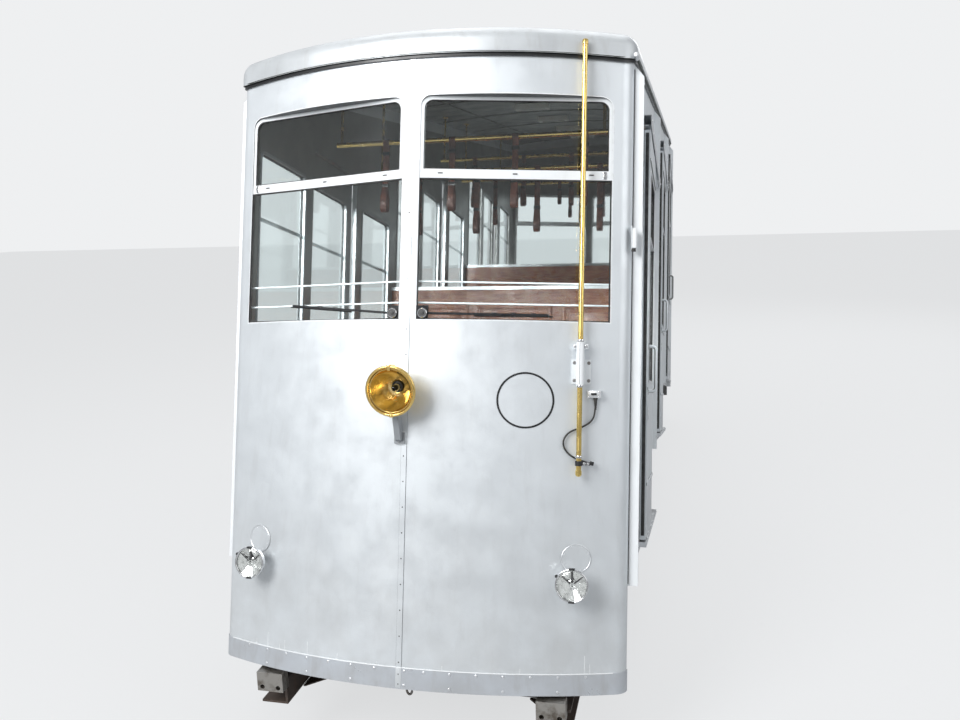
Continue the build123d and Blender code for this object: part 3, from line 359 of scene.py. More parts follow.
# wood with its grain, rings and worn edges
wood = finishes["varnished_wood"]
woodGrain = noise(wood, 9, 8, 0.65, (0.35, 6, 6))
woodBase = mixed(wood, ramp(wood, woodGrain, 0, 1), (0.41, 0.135, 0.055), (0.2, 0.052, 0.022))
woodRings = addNode(wood, "TexWave", Vector=carPlace(wood, (0.4, 7, 7)), Scale=5.0, Distortion=6.0,
    Detail=3.0)
woodBase = mixed(wood, ramp(wood, woodRings.outputs[1], 0, 0.35, 0.2, 0.9), woodBase, (0.42, 0.2, 0.09))
woodWorn = times(wood, edgeShare(wood, 0.005), ramp(wood, noise(wood, 20, 4), 0, 0.7))
woodBase = mixed(wood, woodWorn, woodBase, (0.55, 0.33, 0.18))
plug(wood, Base_Color=woodBase, Roughness=ramp(wood, noise(wood, 14, 5), 0.22, 0.42),
    Normal=relief(wood, woodGrain, 0.12, 0.001))

# a ribbed floor cover with dust on it
cover = finishes["floor_cover"]
ribs = addNode(cover, "TexWave", Vector=carPlace(cover), Scale=14.0, bands_direction="X").outputs[1]
coverDust = ramp(cover, noise(cover, 4, 7, 0.65), 0, 0.7)
plug(cover, Base_Color=mixed(cover, coverDust, (0.05, 0.05, 0.053), (0.14, 0.13, 0.115)),
    Normal=relief(cover, ribs, 0.5, 0.002), Roughness=ramp(cover, noise(cover, 9, 4), 0.55, 0.8))

# plain finishes: clouds of two colours, a range of roughness and a fine grain
for key, clouds, share, first, second, shine, rough, grain in (
    ("lamp_white", (12, 5), 0.6, (0.92, 0.91, 0.86), (0.8, 0.76, 0.66), (20, 4), (0.28, 0.45),
        (300, 2, 0.06, 0.0004)),
    ("black_rubber", (24, 6), 0.8, (0.014, 0.014, 0.015), (0.055, 0.053, 0.05), (30, 4), (0.48, 0.72),
        (500, 3, 0.15, 0.0004)),
    ("headliner", (6, 6), 1, (0.05, 0.055, 0.042), (0.075, 0.078, 0.062), (12, 4), (0.5, 0.8),
        (160, 4, 0.2, 0.001)),
    ("leather", (26, 6), 1, (0.15, 0.042, 0.022), (0.06, 0.02, 0.013), (40, 4), (0.36, 0.6), None),
    ("dialFace", (60, 5), 0.5, (0.85, 0.84, 0.78), (0.74, 0.7, 0.6), (30, 3), (0.22, 0.4), None),
):
    mat = finishes[key]
    plug(mat, Base_Color=mixed(mat, ramp(mat, noise(mat, *clouds), 0, share), first, second),
        Roughness=ramp(mat, noise(mat, *shine), *rough))
    if grain:
        plug(mat, Normal=relief(mat, noise(mat, *grain[:2]), *grain[2:]))
# the leather's grain is fine pores
leather = finishes["leather"]
pores = addNode(leather, "TexVoronoi", Vector=carPlace(leather), Scale=380.0).outputs[0]
plug(leather, Normal=relief(leather, pores, 0.25, 0.0006))

# a slot's finish on every solid of the model, and a few nodes with a finish of their own
for node in cadNodes.values():
    for slot in node.material_slots:
        key = slot.material.name.split(".")[0] if slot.material else ""
        slot.material = finishes.get(key, slot.material)
# window_frames get framePaint, the white paint with painted shade on its reveals
for name, finish in (("signal_pole", "paleBrass"), ("window_frames", "framePaint"),
        ("apron_bands", "bandPaint"), ("jacking_blocks", "wornSteel"), ("pole_guide", "white_paint")):
    cadNodes[name].material_slots[0].material = finishes[finish]
cableCurve.materials.append(finishes["black_rubber"])
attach(cable, "car_body")
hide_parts("signal_cable")
print("finishes ready")


# tools for making pieces
def clearSelection():
    if bpy.context.object and bpy.context.object.mode == "EDIT":
        bpy.ops.object.mode_set(mode="OBJECT")
    bpy.ops.object.select_all(action="DESELECT")


def pick(piece):
    clearSelection()
    piece.select_set(True)
    bpy.context.view_layer.objects.active = piece


def drawnLine(name, points):
    # one corner of a plane, drawn on through the points
    clearSelection()
    bpy.ops.mesh.primitive_plane_add(size=0.1)
    piece = bpy.context.object
    piece.name = name
    bpy.ops.object.mode_set(mode="EDIT")
    bpy.ops.mesh.select_all(action="SELECT")
    bpy.ops.mesh.merge(type="CENTER")
    bpy.ops.transform.translate(value=points[0])
    for here, there in zip(points, points[1:]):
        bpy.ops.mesh.extrude_region_move(TRANSFORM_OT_translate={"value": Vector(there) - Vector(here)})
    return piece


def closeSeams():
    bpy.ops.mesh.select_all(action="SELECT")
    bpy.ops.mesh.remove_doubles(threshold=0.00001)
    bpy.ops.mesh.select_all(action="SELECT")


def roundEdges(piece, width, segments):
    pick(piece)
    rounding = piece.modifiers.new("edgeRounding", "BEVEL")
    rounding.width = width
    rounding.segments = segments
    rounding.limit_method = "ANGLE"
    rounding.angle_limit = radians(40)
    bpy.ops.object.modifier_apply(modifier=rounding.name)
    return piece


def mm(points):
    # points given in millimetres
    return [(x / 1000, y / 1000) for x, y in points]


def lathe(name, profile, steps=40):
    # a profile of radius and height, spun round the z axis; one that starts off the axis is closed
    if profile[0][0]:
        profile = profile + profile[:1]
    piece = drawnLine(name, [(radius, 0, height) for radius, height in profile])
    bpy.ops.mesh.select_all(action="SELECT")
    bpy.ops.mesh.spin(steps=steps, angle=2 * pi, center=(0, 0, 0), axis=(0, 0, 1))
    closeSeams()
    bpy.ops.mesh.normals_make_consistent(inside=False)
    bpy.ops.object.mode_set(mode="OBJECT")
    return piece


def plate(name, outline, thickness, bevel=0.0, ring=0.0, segments=2):
    # a flat outline in x and y, filled, or left open as a ring of that width, and thickened upwards
    piece = drawnLine(name, [(x, y, 0) for x, y in outline + outline[:1]])
    closeSeams()
    bpy.ops.mesh.edge_face_add()
    if ring:
        bpy.ops.mesh.inset(thickness=ring)
        bpy.ops.mesh.delete(type="FACE")
        bpy.ops.mesh.select_all(action="SELECT")
    bpy.ops.mesh.extrude_region_move(TRANSFORM_OT_translate={"value": (0, 0, thickness)})
    bpy.ops.mesh.select_all(action="SELECT")
    bpy.ops.mesh.normals_make_consistent(inside=False)
    bpy.ops.object.mode_set(mode="OBJECT")
    if bevel:
        roundEdges(piece, bevel, segments)
    return piece


def block(name, low, high, bevel=0.002, segments=2):
    clearSelection()
    middle = [(a + b) / 2 for a, b in zip(low, high)]
    bpy.ops.mesh.primitive_cube_add(size=1, location=middle, scale=[b - a for a, b in zip(low, high)])
    piece = bpy.context.object
    piece.name = name
    bpy.ops.object.transform_apply(location=True, rotation=True, scale=True)
    if bevel:
        roundEdges(piece, bevel, segments)
    return piece


def onCircle(count, radius, start=0, x=0, y=0):
    # points spread evenly round a circle
    angles = [radians(start + 360 * k / count) for k in range(count)]
    return [(x + radius * cos(a), y + radius * sin(a)) for a in angles]


def rounded(x0, x1, y0, y1, radius, steps=5, topOnly=False):
    outline = []
    for x, y, turn in ((x1, y1, 0), (x0, y1, 90), (x0, y0, 180), (x1, y0, 270)):
        if topOnly and y == y0:
            outline.append((x, y))
            continue
        midX = x - radius if x == x1 else x + radius
        midY = y - radius if y == y1 else y + radius
        for k in range(steps + 1):
            angle = radians(turn + 90 * k / steps)
            outline.append((midX + radius * cos(angle), midY + radius * sin(angle)))
    return outline


def bentTube(name, points, radius, sides, closed=False):
    # a round bar along a smooth line, made a mesh
    clearSelection()
    line = bpy.data.curves.new(name, "CURVE")
    line.dimensions = "3D"
    run = line.splines.new("NURBS")
    run.points.add(len(points) - 1)
    for knot, place in zip(run.points, points):
        knot.co = (*place, 1)
    run.order_u = 3
    run.use_cyclic_u = closed
    run.use_endpoint_u = not closed
    run.resolution_u = 6
    line.bevel_depth = radius
    line.bevel_resolution = sides
    line.use_fill_caps = not closed
    piece = bpy.data.objects.new(name, line)
    bpy.context.scene.collection.objects.link(piece)
    pick(piece)
    bpy.ops.object.convert(target="MESH")
    return bpy.context.object


def joined(*parts, name=""):
    clearSelection()
    for part in parts:
        part.select_set(True)
    bpy.context.view_layer.objects.active = parts[0]
    if len(parts) > 1:
        bpy.ops.object.join()
    if name:
        parts[0].name = name
    return parts[0]


def moved(piece, place):
    piece.data.transform(place)
    return piece


def copiesAt(piece, places):
    # a copy of the piece with its own mesh at each place, joined to one
    copies = []
    for place in places:
        mesh = piece.data.copy()
        mesh.transform(place)
        if place.determinant() < 0:
            mesh.flip_normals()
        copies.append(bpy.data.objects.new(piece.name, mesh))
        bpy.context.scene.collection.objects.link(copies[-1])
    name = piece.name
    bpy.data.objects.remove(piece)
    return joined(*copies, name=name)


def finishPiece(piece, finish, body="car_body", angle=32):
    pick(piece)
    bpy.ops.object.shade_smooth_by_angle(angle=radians(angle))
    piece.data.materials.clear()
    piece.data.materials.append(finishes[finish])
    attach(piece, body)
    return piece


def fitted(piece, places, finish, body="car_body", angle=32):
    # copies at level places on the leaning car
    return finishPiece(copiesAt(piece, [levelToCar @ place for place in places]), finish, body, angle)


def onTrack(piece, places, finish, body="car_body", angle=32):
    # copies at places along the track
    return finishPiece(copiesAt(piece, [trackToCar @ place for place in places]), finish, body, angle)


def atBothEnds(piece, places, finish):
    # level places at the downhill end, and the same turned round at the uphill end
    return fitted(piece, [end @ place for end in ends for place in places], finish)


def noseFrame(x, z, off=0.0):
    # x along the bowed wall, y up, z out of it
    lean = x / car["bowRadius"]
    out = Vector((lean, -sqrt(1 - lean * lean), 0))
    along = Vector((-out.y, lean, 0))
    spot = Vector((x, bowY(x), z)) + out * off
    return at(*spot) @ Matrix((along, (0, 0, 1), out)).transposed().to_4x4()


def lampFrame(x, z, out, tilt=0.0):
    # x across, y up, z out of the lamp's mouth, which may be tilted
    place = at(x, bowY(x) - out, z)
    return place @ Matrix.Rotation(tilt, 4, "X") @ turned(90, "X")


# the flat end windows reach from the centre strip to the corner post
pane = {"inner": 0.04, "outer": 1.008}
paneLean = atan((bowY(pane["outer"]) - bowY(pane["inner"])) / (pane["outer"] - pane["inner"]))


def paneFrame(side):
    # x outwards along a flat end window from its inner edge, y up, z out
    along = Vector((side * cos(paneLean), sin(paneLean), 0))
    out = Vector((side * sin(paneLean), -cos(paneLean), 0))
    corner = at(side * pane["inner"], bowY(pane["inner"]), 0)
    return corner @ Matrix((along, (0, 0, 1), out)).transposed().to_4x4()


def sideFrame(side, y, z, x=1.1):
    # x uphill, y up, z out of the side wall; the left side is a mirror image
    turn = Matrix(((0, 1, 0), (0, 0, 1), (side, 0, 0))).transposed().to_4x4()
    return at(side * x, y, z) @ turn


def screwHead(name, radius, height, slot=True):
    # a round head with a driver slot, low in faces
    profile = [(0, height), (radius * 0.55, height * 0.95), (radius * 0.9, height * 0.55), (radius, 0),
        (0, 0)]
    piece = lathe(name, profile, 10)
    if slot:
        groove = block(name + "Slot", (-radius * 0.75, -radius * 0.12, height * 0.7),
            (radius * 0.75, radius * 0.12, height * 1.04), 0)
        piece = joined(piece, groove)
    return piece


def boltHead(name, radius, height):
    # a six-sided head on a washer, with its shank's round end
    head = plate(name, onCircle(6, radius), height, radius * 0.1, 0, 1)
    washer = lathe(name + "Washer", [(0, height * 0.3), (radius * 1.3, height * 0.3), (radius * 1.45, 0),
        (0, 0)], 16)
    end = lathe(name + "End", [(0, height * 1.35), (radius * 0.42, height * 1.3), (radius * 0.5, height),
        (radius * 0.5, height * 0.5)], 12)
    return joined(head, washer, end)


# end walls: rivets, a top bead and paint drips on the apron band, screws, edges and a foot on the strip
apronBand = {"top": 0.104, "out": 0.004, "reach": 1.02, "rows": ((0.09, 0.13), (0.019, 0.26)),
    "rivet": (0.0075, 0.0034)}
# each end with the height of its band's foot
bandEnds = [(ends[0], 0.0), (rearTurn, car["rearLow"])]
rivetPlaces = []
for end, low in bandEnds:
    for row, pitch in apronBand["rows"]:
        count = int(apronBand["reach"] / pitch)
        rivetPlaces += [end @ noseFrame(k * pitch if k else 0.03, low + row, apronBand["out"])
            for k in range(-count, count + 1)]
fitted(screwHead("apronRivets", *apronBand["rivet"], slot=False), rivetPlaces, "aluminium")

beads = []
for end, low in bandEnds:
    line = [(x / 100, bowY(x / 100) - 0.003, low + apronBand["top"]) for x in range(-104, 105, 8)]
    beads.append(copiesAt(bentTube("apronBead", line, 0.0034, 2), [end]))
fitted(joined(*beads), inPlace, "white_paint", angle=60)
drips = []
for x, length in ((-0.86, 0.028), (-0.78, 0.075), (-0.7, 0.024), (-0.665, 0.052), (-0.52, 0.066),
        (-0.34, 0.03), (-0.12, 0.018), (0.22, 0.022), (0.6, 0.026), (0.905, 0.088), (0.93, 0.045)):
    drip = block("apronDrips", (-0.0016, 0, -0.0008), (0.0016, length, 0.0007), 0.0005, 1)
    drips.append(copiesAt(drip, [noseFrame(x, apronBand["top"], 0)]))
fitted(joined(*drips), inPlace, "white_paint")

centreStrip = {"out": 0.004, "pitch": 0.128, "head": (0.0034, 0.0016), "hole": 2.387}
stripScrews = screwHead("centreStripScrews", *centreStrip["head"])
screwPlaces = []
for end, low, high in ((ends[0], 0.13, 3.1), (rearTurn, 0.54, 3.8)):
    # the screws leave out the headlamp's foot
    heights = [low + k * centreStrip["pitch"] for k in range(28)]
    screwPlaces += [end @ noseFrame(0, z, centreStrip["out"]) for z in heights
        if z < high and not 1.2 < z < 1.3]
fitted(stripScrews, screwPlaces, "black_paint")
atBothEnds(lathe("centreStripPeep", mm([(4, -2), (6.2, 1.6), (8.2, 1.8), (9, 0), (9, -2)]), 20),
    [noseFrame(0, centreStrip["hole"], centreStrip["out"])], "chrome")
# painted shade: black discs in the centre strip stand for the shade inside its holes
peepHoleShades = lathe("centreStripHoleShades", mm([(0, 0.5), (5.5, 0.4), (6, -1), (0, -1)]), 16)
spots = [(0, centreStrip["hole"], 1.0)]
spots += [(0, centreStrip["hole"] + step, 0.35) for step in (0.022, 0.034, -0.022, -0.034, -0.046)]
atBothEnds(peepHoleShades, [noseFrame(x, z, centreStrip["out"]) @ Matrix.Scale(size, 4) for x, z, size in spots],
    "black_paint")
stripEdges = []
for end, low, high in ((ends[0], 0.11, 3.12), (rearTurn, 0.52, 3.84)):
    edge = block("centreStripEdges", (-0.0011, low, -0.001), (0.0011, high, 0.0009), 0.0003, 1)
    stripEdges.append(copiesAt(edge, [end @ noseFrame(x, 0, 0) for x in (-0.0149, 0.0149)]))
fitted(joined(*stripEdges), inPlace, "grey_paint")
stripFoot = block("centreStripFoot", (-0.015, 0.006, 0.003), (0.015, 0.108, 0.0051), 0.0008, 2)
footScrews = copiesAt(screwHead("centreStripFootScrews", *centreStrip["head"]),
    [at(0, z, 0.0046) for z in (0.024, 0.072)])
fitted(stripFoot, [noseFrame(0, 0, 0)], "silver_paint")
fitted(footScrews, [noseFrame(0, 0, 0)], "black_paint")
print("end walls dressed")

# end windows: black glazing rubber, and slots with painted shade in them and a catch on each pair's upper
# sashes
sashes = {"low": 1.845, "transom": 0.0235, "upper": 0.405, "inset": 0.006, "glassDepth": 0.0117,
    "slotPlaces": (0.15, 0.522, 0.9)}
for tag, end, top in (("Front", ends[0], 2.997), ("Rear", rearTurn, 3.189)):
    rail = top - sashes["upper"]
    reach = (pane["outer"] - pane["inner"] - sashes["inset"]) / cos(paneLean)
    start = sashes["inset"] / cos(paneLean)
    lower = plate("lowerGlazing" + tag, [(start, sashes["low"]), (reach, sashes["low"]),
        (reach, rail - sashes["transom"]), (start, rail - sashes["transom"])], 0.004, 0.0012, 0.008, 1)
    upperOutline = rounded(start + 0.0185, reach - 0.0185, rail + sashes["transom"], top - 0.024, 0.045, 6,
        True)
    upper = plate("upperGlazing" + tag, upperOutline, 0.004, 0.0012, 0.005, 1)
    fitted(joined(lower, upper), [end @ paneFrame(side) @ at(0, 0, -sashes["glassDepth"])
        for side in (1, -1)], "black_rubber")
    # painted shade: black plates stand for the shade in the transom's slots
    slotShade = plate("sashSlots" + tag, rounded(-0.0125, 0.0125, -0.003, 0.003, 0.0028, 3), 0.0006)
    slotFrame = plate("sashSlotFrames" + tag, rounded(-0.016, 0.016, -0.006, 0.006, 0.0055, 3), 0.0014,
        0.0005, 0.003, 1)
    onSash = [end @ paneFrame(side) @ at((x - pane["inner"]) / cos(paneLean), rail + 0.002, -0.0038)
        for side in (1, -1) for x in sashes["slotPlaces"]]
    fitted(slotShade, onSash, "black_paint")
    fitted(slotFrame, onSash, "white_paint")
    fitted(joined(plate("sashCatch" + tag, rounded(-0.009, 0.009, -0.02, 0.02, 0.004, 3), 0.003, 0.0008),
        lathe("sashKnob" + tag, mm([(0, 14), (5, 13.5), (6.2, 11), (3.5, 7), (3, 2), (0, 2)]), 16)),
        [end @ paneFrame(side) @ at(0.95, rail, -0.0038) for side in (1, -1)], "chrome")
print("end windows dressed")

# wipers: a rubber blade clipped under each arm, a bright ring and a nut on each hub
wiperLook = {"start": 0.3, "length": 0.4, "leftLift": atan(0.054 / 0.637)}
bladeRubber = plate("wiperBlades", [(0, -0.012), (wiperLook["length"], -0.01),
    (wiperLook["length"], -0.004), (0, -0.004)], 0.003, 0.0006, 0, 1)
bladeSpine = plate("wiperSpines", [(0.004, -0.005), (wiperLook["length"] - 0.004, -0.005),
    (wiperLook["length"] - 0.02, 0.001), (0.02, 0.001)], 0.0045, 0.001, 0, 1)
bladeClips = joined(*[block("wiperClips", (x - 0.012, -0.009, 0), (x + 0.012, 0.009, 0.0145), 0.0015)
    for x in (0.1, 0.2, 0.3)])
wiperPlaces = [end @ paneFrame(side) @ at(0.041, 1.876, 0)
    @ Matrix.Rotation(wiperLook["leftLift"] if side < 0 else 0, 4, "Z")
    @ at(wiperLook["start"] - 0.041, 0, -0.0085) for end in ends for side in (1, -1)]
fitted(bladeRubber, wiperPlaces, "black_rubber")
fitted(joined(bladeSpine, bladeClips), wiperPlaces, "black_paint")
hubPlaces = [at(side * 0.08, bowY(0.04) - 0.005072, 1.876) @ turned(90, "X") for side in (1, -1)]
atBothEnds(lathe("wiperHubRings", mm([(20.5, 0), (20.5, 2.2), (22.5, 3.4), (24.8, 1.5), (24.8, -6),
    (20.5, -6)]), 40), hubPlaces, "chrome")
atBothEnds(boltHead("wiperHubNuts", 0.0075, 0.006), hubPlaces, "black_paint")

# headlamps: rolled beads, a polished reflector, the bulb's holder, clips, a vent cap and the foot
headlamp = {"x": -0.02, "z": 1.478, "out": 0.17, "bead": (0.0075, 0, 0.1205, 0.002),
    "innerBead": (0.0034, 0, 0.1085, -0.003), "bowl": (-0.0460551, -0.0553494, 0.1783856), "lining": 0.0012}
lampPlaces = [end @ lampFrame(headlamp["x"], headlamp["z"], headlamp["out"], tilt)
    for end, tilt in ((ends[0], car["slope"]), (rearTurn, -car["slope"]))]
fitted(lathe("headlampBeads", onCircle(14, *headlamp["bead"]), 64), lampPlaces, "brass")
fitted(lathe("headlampInnerBeads", onCircle(10, *headlamp["innerBead"]), 56), lampPlaces, "brass")
# the bowl's inner wall follows a circle
midDepth, midRadius, bowlRadius = headlamp["bowl"]
wallLine = [(midRadius + sqrt(bowlRadius ** 2 - (d - midDepth) ** 2), d)
    for d in [0.011 + 0.008 * k for k in range(14)]]
lining = [(r - headlamp["lining"], -d) for r, d in wallLine if r > 0.024]
back = [(r - headlamp["lining"] + 0.0006, h - 0.0004) for r, h in reversed(lining)]
fitted(lathe("headlampReflectors", lining + back, 64), lampPlaces, "reflector", angle=50)
fitted(lathe("bulbHolders", mm([(17.8, -116.5), (28.5, -116.5), (28.5, -107.5), (26.5, -104.5),
    (21.5, -103.5), (17.8, -105.5)]), 32), lampPlaces, "black_paint")
fitted(lathe("bulbCollars", mm([(14.2, -112), (17.2, -112), (17.8, -96), (16.5, -90), (14.2, -88)]), 24),
    lampPlaces, "chrome")
clip = block("headlampClips", (-0.01, 0.112, -0.014), (0.01, 0.131, 0.0105), 0.003)
clipTongue = block("headlampClipTongues", (-0.007, 0.103, 0.0065), (0.007, 0.118, 0.0095), 0.0012)
clipScrew = moved(screwHead("headlampClipScrews", 0.0045, 0.0025), at(0, 0.123, 0.0103))
fitted(joined(clip, clipTongue, clipScrew), [place @ turned(turn, "Z") for place in lampPlaces
    for turn in (0, 180)], "brass")
fitted(lathe("headlampVents", mm([(0, 4), (12, 3.5), (16, 1), (17, -4), (0, -4)]), 24),
    [place @ at(0, 0.1145, -0.045) @ turned(-72, "X") for place in lampPlaces], "brass")
atBothEnds(boltHead("headlampFootBolts", 0.0075, 0.005),
    [noseFrame(headlamp["x"], z, 0.0175) for z in (1.2285, 1.2635)], "grey_paint")
atBothEnds(plate("headlampFootPlates", rounded(-0.0285, 0.0285, -0.036, 0.032, 0.008), 0.004, 0.0012),
    [noseFrame(headlamp["x"], 1.246, 0.0045)], "white_paint")

# marker lamps: rim, lens, faceted reflector, bulb, struts, clips, a lug with its bolt, and a flange
marker = {"x": 0.853, "z": 0.56, "out": 0.12, "rim": (0.0048, 0, 0.0775, 0.001), "facets": 14}
markerPlaces = [lampFrame(side * marker["x"], marker["z"], marker["out"]) for side in (-1, 1)]
atBothEnds(lathe("markerRims", onCircle(12, *marker["rim"]), 48), markerPlaces, "chrome")
lensOut = mm([(0, 7.5), (20, 6.9), (40, 5.1), (58, 2.2), (70, -1.5), (73.5, -4)])
lensIn = [(r, h - 0.003) for r, h in reversed(lensOut)]
markerLens = lathe("markerLenses", lensOut + lensIn, 48)
markerLens = atBothEnds(markerLens, markerPlaces, "lens_glass")
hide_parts("marker_lamp_lenses")
dish = mm([(72.8, -7.5), (52, -14.5), (46, -13.5), (26, -20.3), (22, -18.5), (12, -20.4), (12, -20.9),
    (72.8, -20.9)])
fitted(lathe("markerReflectors", dish, marker["facets"]),
    [end @ place for end in ends for place in markerPlaces], "lampMirror", angle=5)
struts = [moved(block("markerStruts", (-width, 0.012, -0.012), (width, 0.069, -0.0085), 0.0008, 1),
    turned(turn, "Z")) for width, turn in ((0.0032, 50), (0.0032, -50), (0.0055, 0))]
atBothEnds(joined(*struts), markerPlaces, "black_paint")
atBothEnds(lathe("markerBulbs", mm([(0, -2), (5, -3), (8.5, -7), (9.5, -12), (7.5, -16.5), (6, -20),
    (0, -20)]), 20), markerPlaces, "lens_glass")
atBothEnds(lathe("markerBulbCollars", mm([(6.5, -20.5), (14.5, -20.5), (14.5, -18), (11.5, -15.5),
    (6.5, -16)]), 20), markerPlaces, "chrome")
atBothEnds(block("markerClips", (-0.015, 0.0735, -0.01), (0.015, 0.0835, 0.0072), 0.0022),
    [place @ turned(turn, "Z") for place in markerPlaces for turn in (0, 180)], "black_paint")
lugPlaces = [place @ turned(62, "Z") for place in markerPlaces]
atBothEnds(moved(boltHead("markerBolts", 0.006, 0.0045), at(0, 0.084, -0.004)), lugPlaces, "black_paint")
atBothEnds(block("markerLugs", (-0.008, 0.072, -0.012), (0.008, 0.091, -0.004), 0.0025), lugPlaces,
    "chrome")
atBothEnds(boltHead("markerFootBolts", 0.006, 0.004),
    [noseFrame(side * marker["x"] + step, marker["z"] - 0.034, 0.0045) for side in (-1, 1)
    for step in (-0.015, 0.015)], "aluminium")
atBothEnds(lathe("markerFlanges", mm([(13.5, 0), (30, 0), (31, 3), (28, 5), (16, 6.5), (13.5, 6.5)]), 28),
    [noseFrame(side * marker["x"], 0.5565, 0.0) for side in (-1, 1)], "grey_paint")

# cover plates: a raised edge and eight screws on each
coverPlate = {"x": 0.857, "z": 0.669, "edge": 0.0695, "screws": 0.06, "count": 8}
edges = []
coverSpots = []
for side in (-1, 1):
    middle = (side * coverPlate["x"], coverPlate["z"])
    line = [(x, bowY(x) - 0.0032, z) for x, z in onCircle(24, coverPlate["edge"], 0, *middle)]
    edges.append(bentTube("coverEdges", line, 0.0021, 1, True))
    ring = onCircle(coverPlate["count"], coverPlate["screws"], 22, *middle)
    coverSpots += [noseFrame(x, z, 0.003) for x, z in ring]
atBothEnds(joined(*edges), inPlace, "aluminium")
atBothEnds(screwHead("coverScrews", 0.0034, 0.0016), coverSpots, "aluminium")
print("lamps and covers dressed")

# signal pole: brass caps, bright collars, the guide's bolts and pins, the socket's lid, sleeve and clamp
pole = {"x": 0.868, "y": bowY(0.868) - 0.05, "low": 1.087, "high": 3.255}
polePlace = at(pole["x"], pole["y"], 0)
lowCap = lathe("poleCaps", mm([(0, -10), (10, -9), (15.8, -2), (15.8, 18), (13.2, 21), (0, 21)]), 28)
topCap = lathe("poleTopCap", mm([(0, -18), (15, -18), (15.5, 0), (12, 7), (0, 10)]), 28)
fitted(joined(moved(lowCap, at(0, 0, pole["low"])), moved(topCap, at(0, 0, pole["high"]))), [polePlace],
    "paleBrass")
collar = mm([(13.1, 0), (17.5, 0), (18.2, 2), (18.2, 10), (17.5, 12), (13.1, 12)])
fitted(lathe("poleCollars", collar, 28), [polePlace @ at(0, 0, z) for z in (1.168, 1.7405, 1.5155)],
    "chrome")
fitted(boltHead("guideBolts", 0.0062, 0.0045), [noseFrame(pole["x"] + x, z, 0.007) for x in (-0.034, 0.034)
    for z in (1.55, 1.638)], "wheel_steel")
faceOut = turned(90, "X")
fitted(lathe("guidePins", mm([(0, 16), (4, 15.5), (5, 13), (5, 4), (7.5, 3), (7.5, 0), (0, 0)]), 16),
    [at(pole["x"] + x, pole["y"] + 0.0082, 1.718) @ faceOut for x in (-0.027, 0.027)], "chrome")
fitted(block("guideSeams", (-0.0008, -0.0203, 1.53), (0.0008, -0.0195, 1.738), 0.0003, 1), [polePlace],
    "black_paint")
socket = {"x": 0.933, "y": bowY(0.94) - 0.03, "z": 1.484}
socketPlace = at(socket["x"], socket["y"], socket["z"]) @ faceOut
lid = plate("socketLid", rounded(-0.0305, 0.0305, -0.0155, 0.0155, 0.004), 0.0022, 0.0008)
window = plate("socketWindow", rounded(-0.014, 0.014, -0.006, 0.006, 0.003), 0.003, 0.0006)
fitted(lid, [socketPlace], "aluminium")
fitted(window, [socketPlace], "black_paint")
fitted(screwHead("socketScrews", 0.0032, 0.0018),
    [socketPlace @ at(x, z, 0.0022) for x in (-0.026, 0.026) for z in (-0.011, 0.011)], "chrome")
sleeveProfile = mm([(0, 0), (10.2, 0), (10.2, -8), (8.8, -10)])
for k in range(5):
    sleeveProfile += [(0.0088 - 0.0007 * k, -0.014 - 0.009 * k), (0.0078 - 0.0007 * k, -0.016 - 0.009 * k)]
sleeveProfile += [(0.0052, -0.06), (0, -0.06)]
cableSleeve = lathe("cableSleeve", sleeveProfile, 24)
cableSleeve = fitted(cableSleeve, [at(*signalCable["points"][0])], "black_rubber")
fitted(boltHead("clampBolts", 0.0055, 0.004), [at(x, pole["y"] - 0.0052, 1.142) @ faceOut
    for x in (0.896, 0.914)], "chrome")
print("signal pole dressed")

# roof: a rolled lower edge, seams over the top and a pipe end
roofEdge = {"out": 0.021, "gutter": 3.145, "crown": 0.057, "halfArch": 1.064, "arcRise": 0.068,
    "roll": 0.005}


def eaveHeight(x, y):
    rise = roofEdge["crown"] * max(0.0, 1 - (x / roofEdge["halfArch"]) ** 2) / cos(car["slope"])
    return roofEdge["gutter"] + y * climb + rise


def archZ(x, y, half, top):
    # height of an arch over the gutter line: it spans twice half and is highest at top
    arc = (half ** 2 + roofEdge["arcRise"] ** 2) / (2 * roofEdge["arcRise"])
    return roofEdge["gutter"] + y * climb + (top - arc + sqrt(arc ** 2 - x * x)) / cos(car["slope"])


def eaveLoop(out, up):
    half = car["halfWidth"] + out
    front = [(x / 100, bowY(x / 100, -out)) for x in range(-98, 99, 14)]
    corner = bowY(half, -out)
    right = [(1.045 + out * 0.7, bowY(1.045, -out) + 0.004), (half - 0.006, corner + 0.035),
        (half, corner + 0.1)]
    side = [(half, 0.6), (half, 2.5), (half, 5.4), (half, 7.3)]
    rightEnd = [(x, car["bodyLength"] - y) for x, y in reversed(right)]
    rear = [(x, car["bodyLength"] - y) for x, y in reversed(front)]
    loop = front + right + side + rightEnd + rear
    loop += [(-x, y) for x, y in reversed(right + side + rightEnd)]
    return [(x, y, eaveHeight(x, y) + up) for x, y in loop]


fitted(bentTube("roofRoll", eaveLoop(roofEdge["out"], 0.006), roofEdge["roll"], 2, True), inPlace,
    "roof_paint", angle=60)
seams = []
for y in (1.53, 2.74, 3.95, 5.16, 6.37):
    # a seam sinks into the roof towards the middle, where the roof is highest
    line = [(x, y, archZ(x, y, 1.122, 0.19) - 0.0047 + 0.0042 * min(1.0, (x / 0.32) ** 2))
        for x in [k / 10 for k in range(-10, 11)]]
    seams.append(bentTube("roofSeams", line, 0.0045, 2))
fitted(joined(*seams), inPlace, "roof_paint", angle=60)
fitted(lathe("roofPipeEnds", mm([(0, 13), (9.5, 12), (12.5, 8), (12.5, -50), (0, -50)]), 24),
    [at(1.113, 0.236, 3.214) @ faceOut], "aluminium")
print("roof dressed")

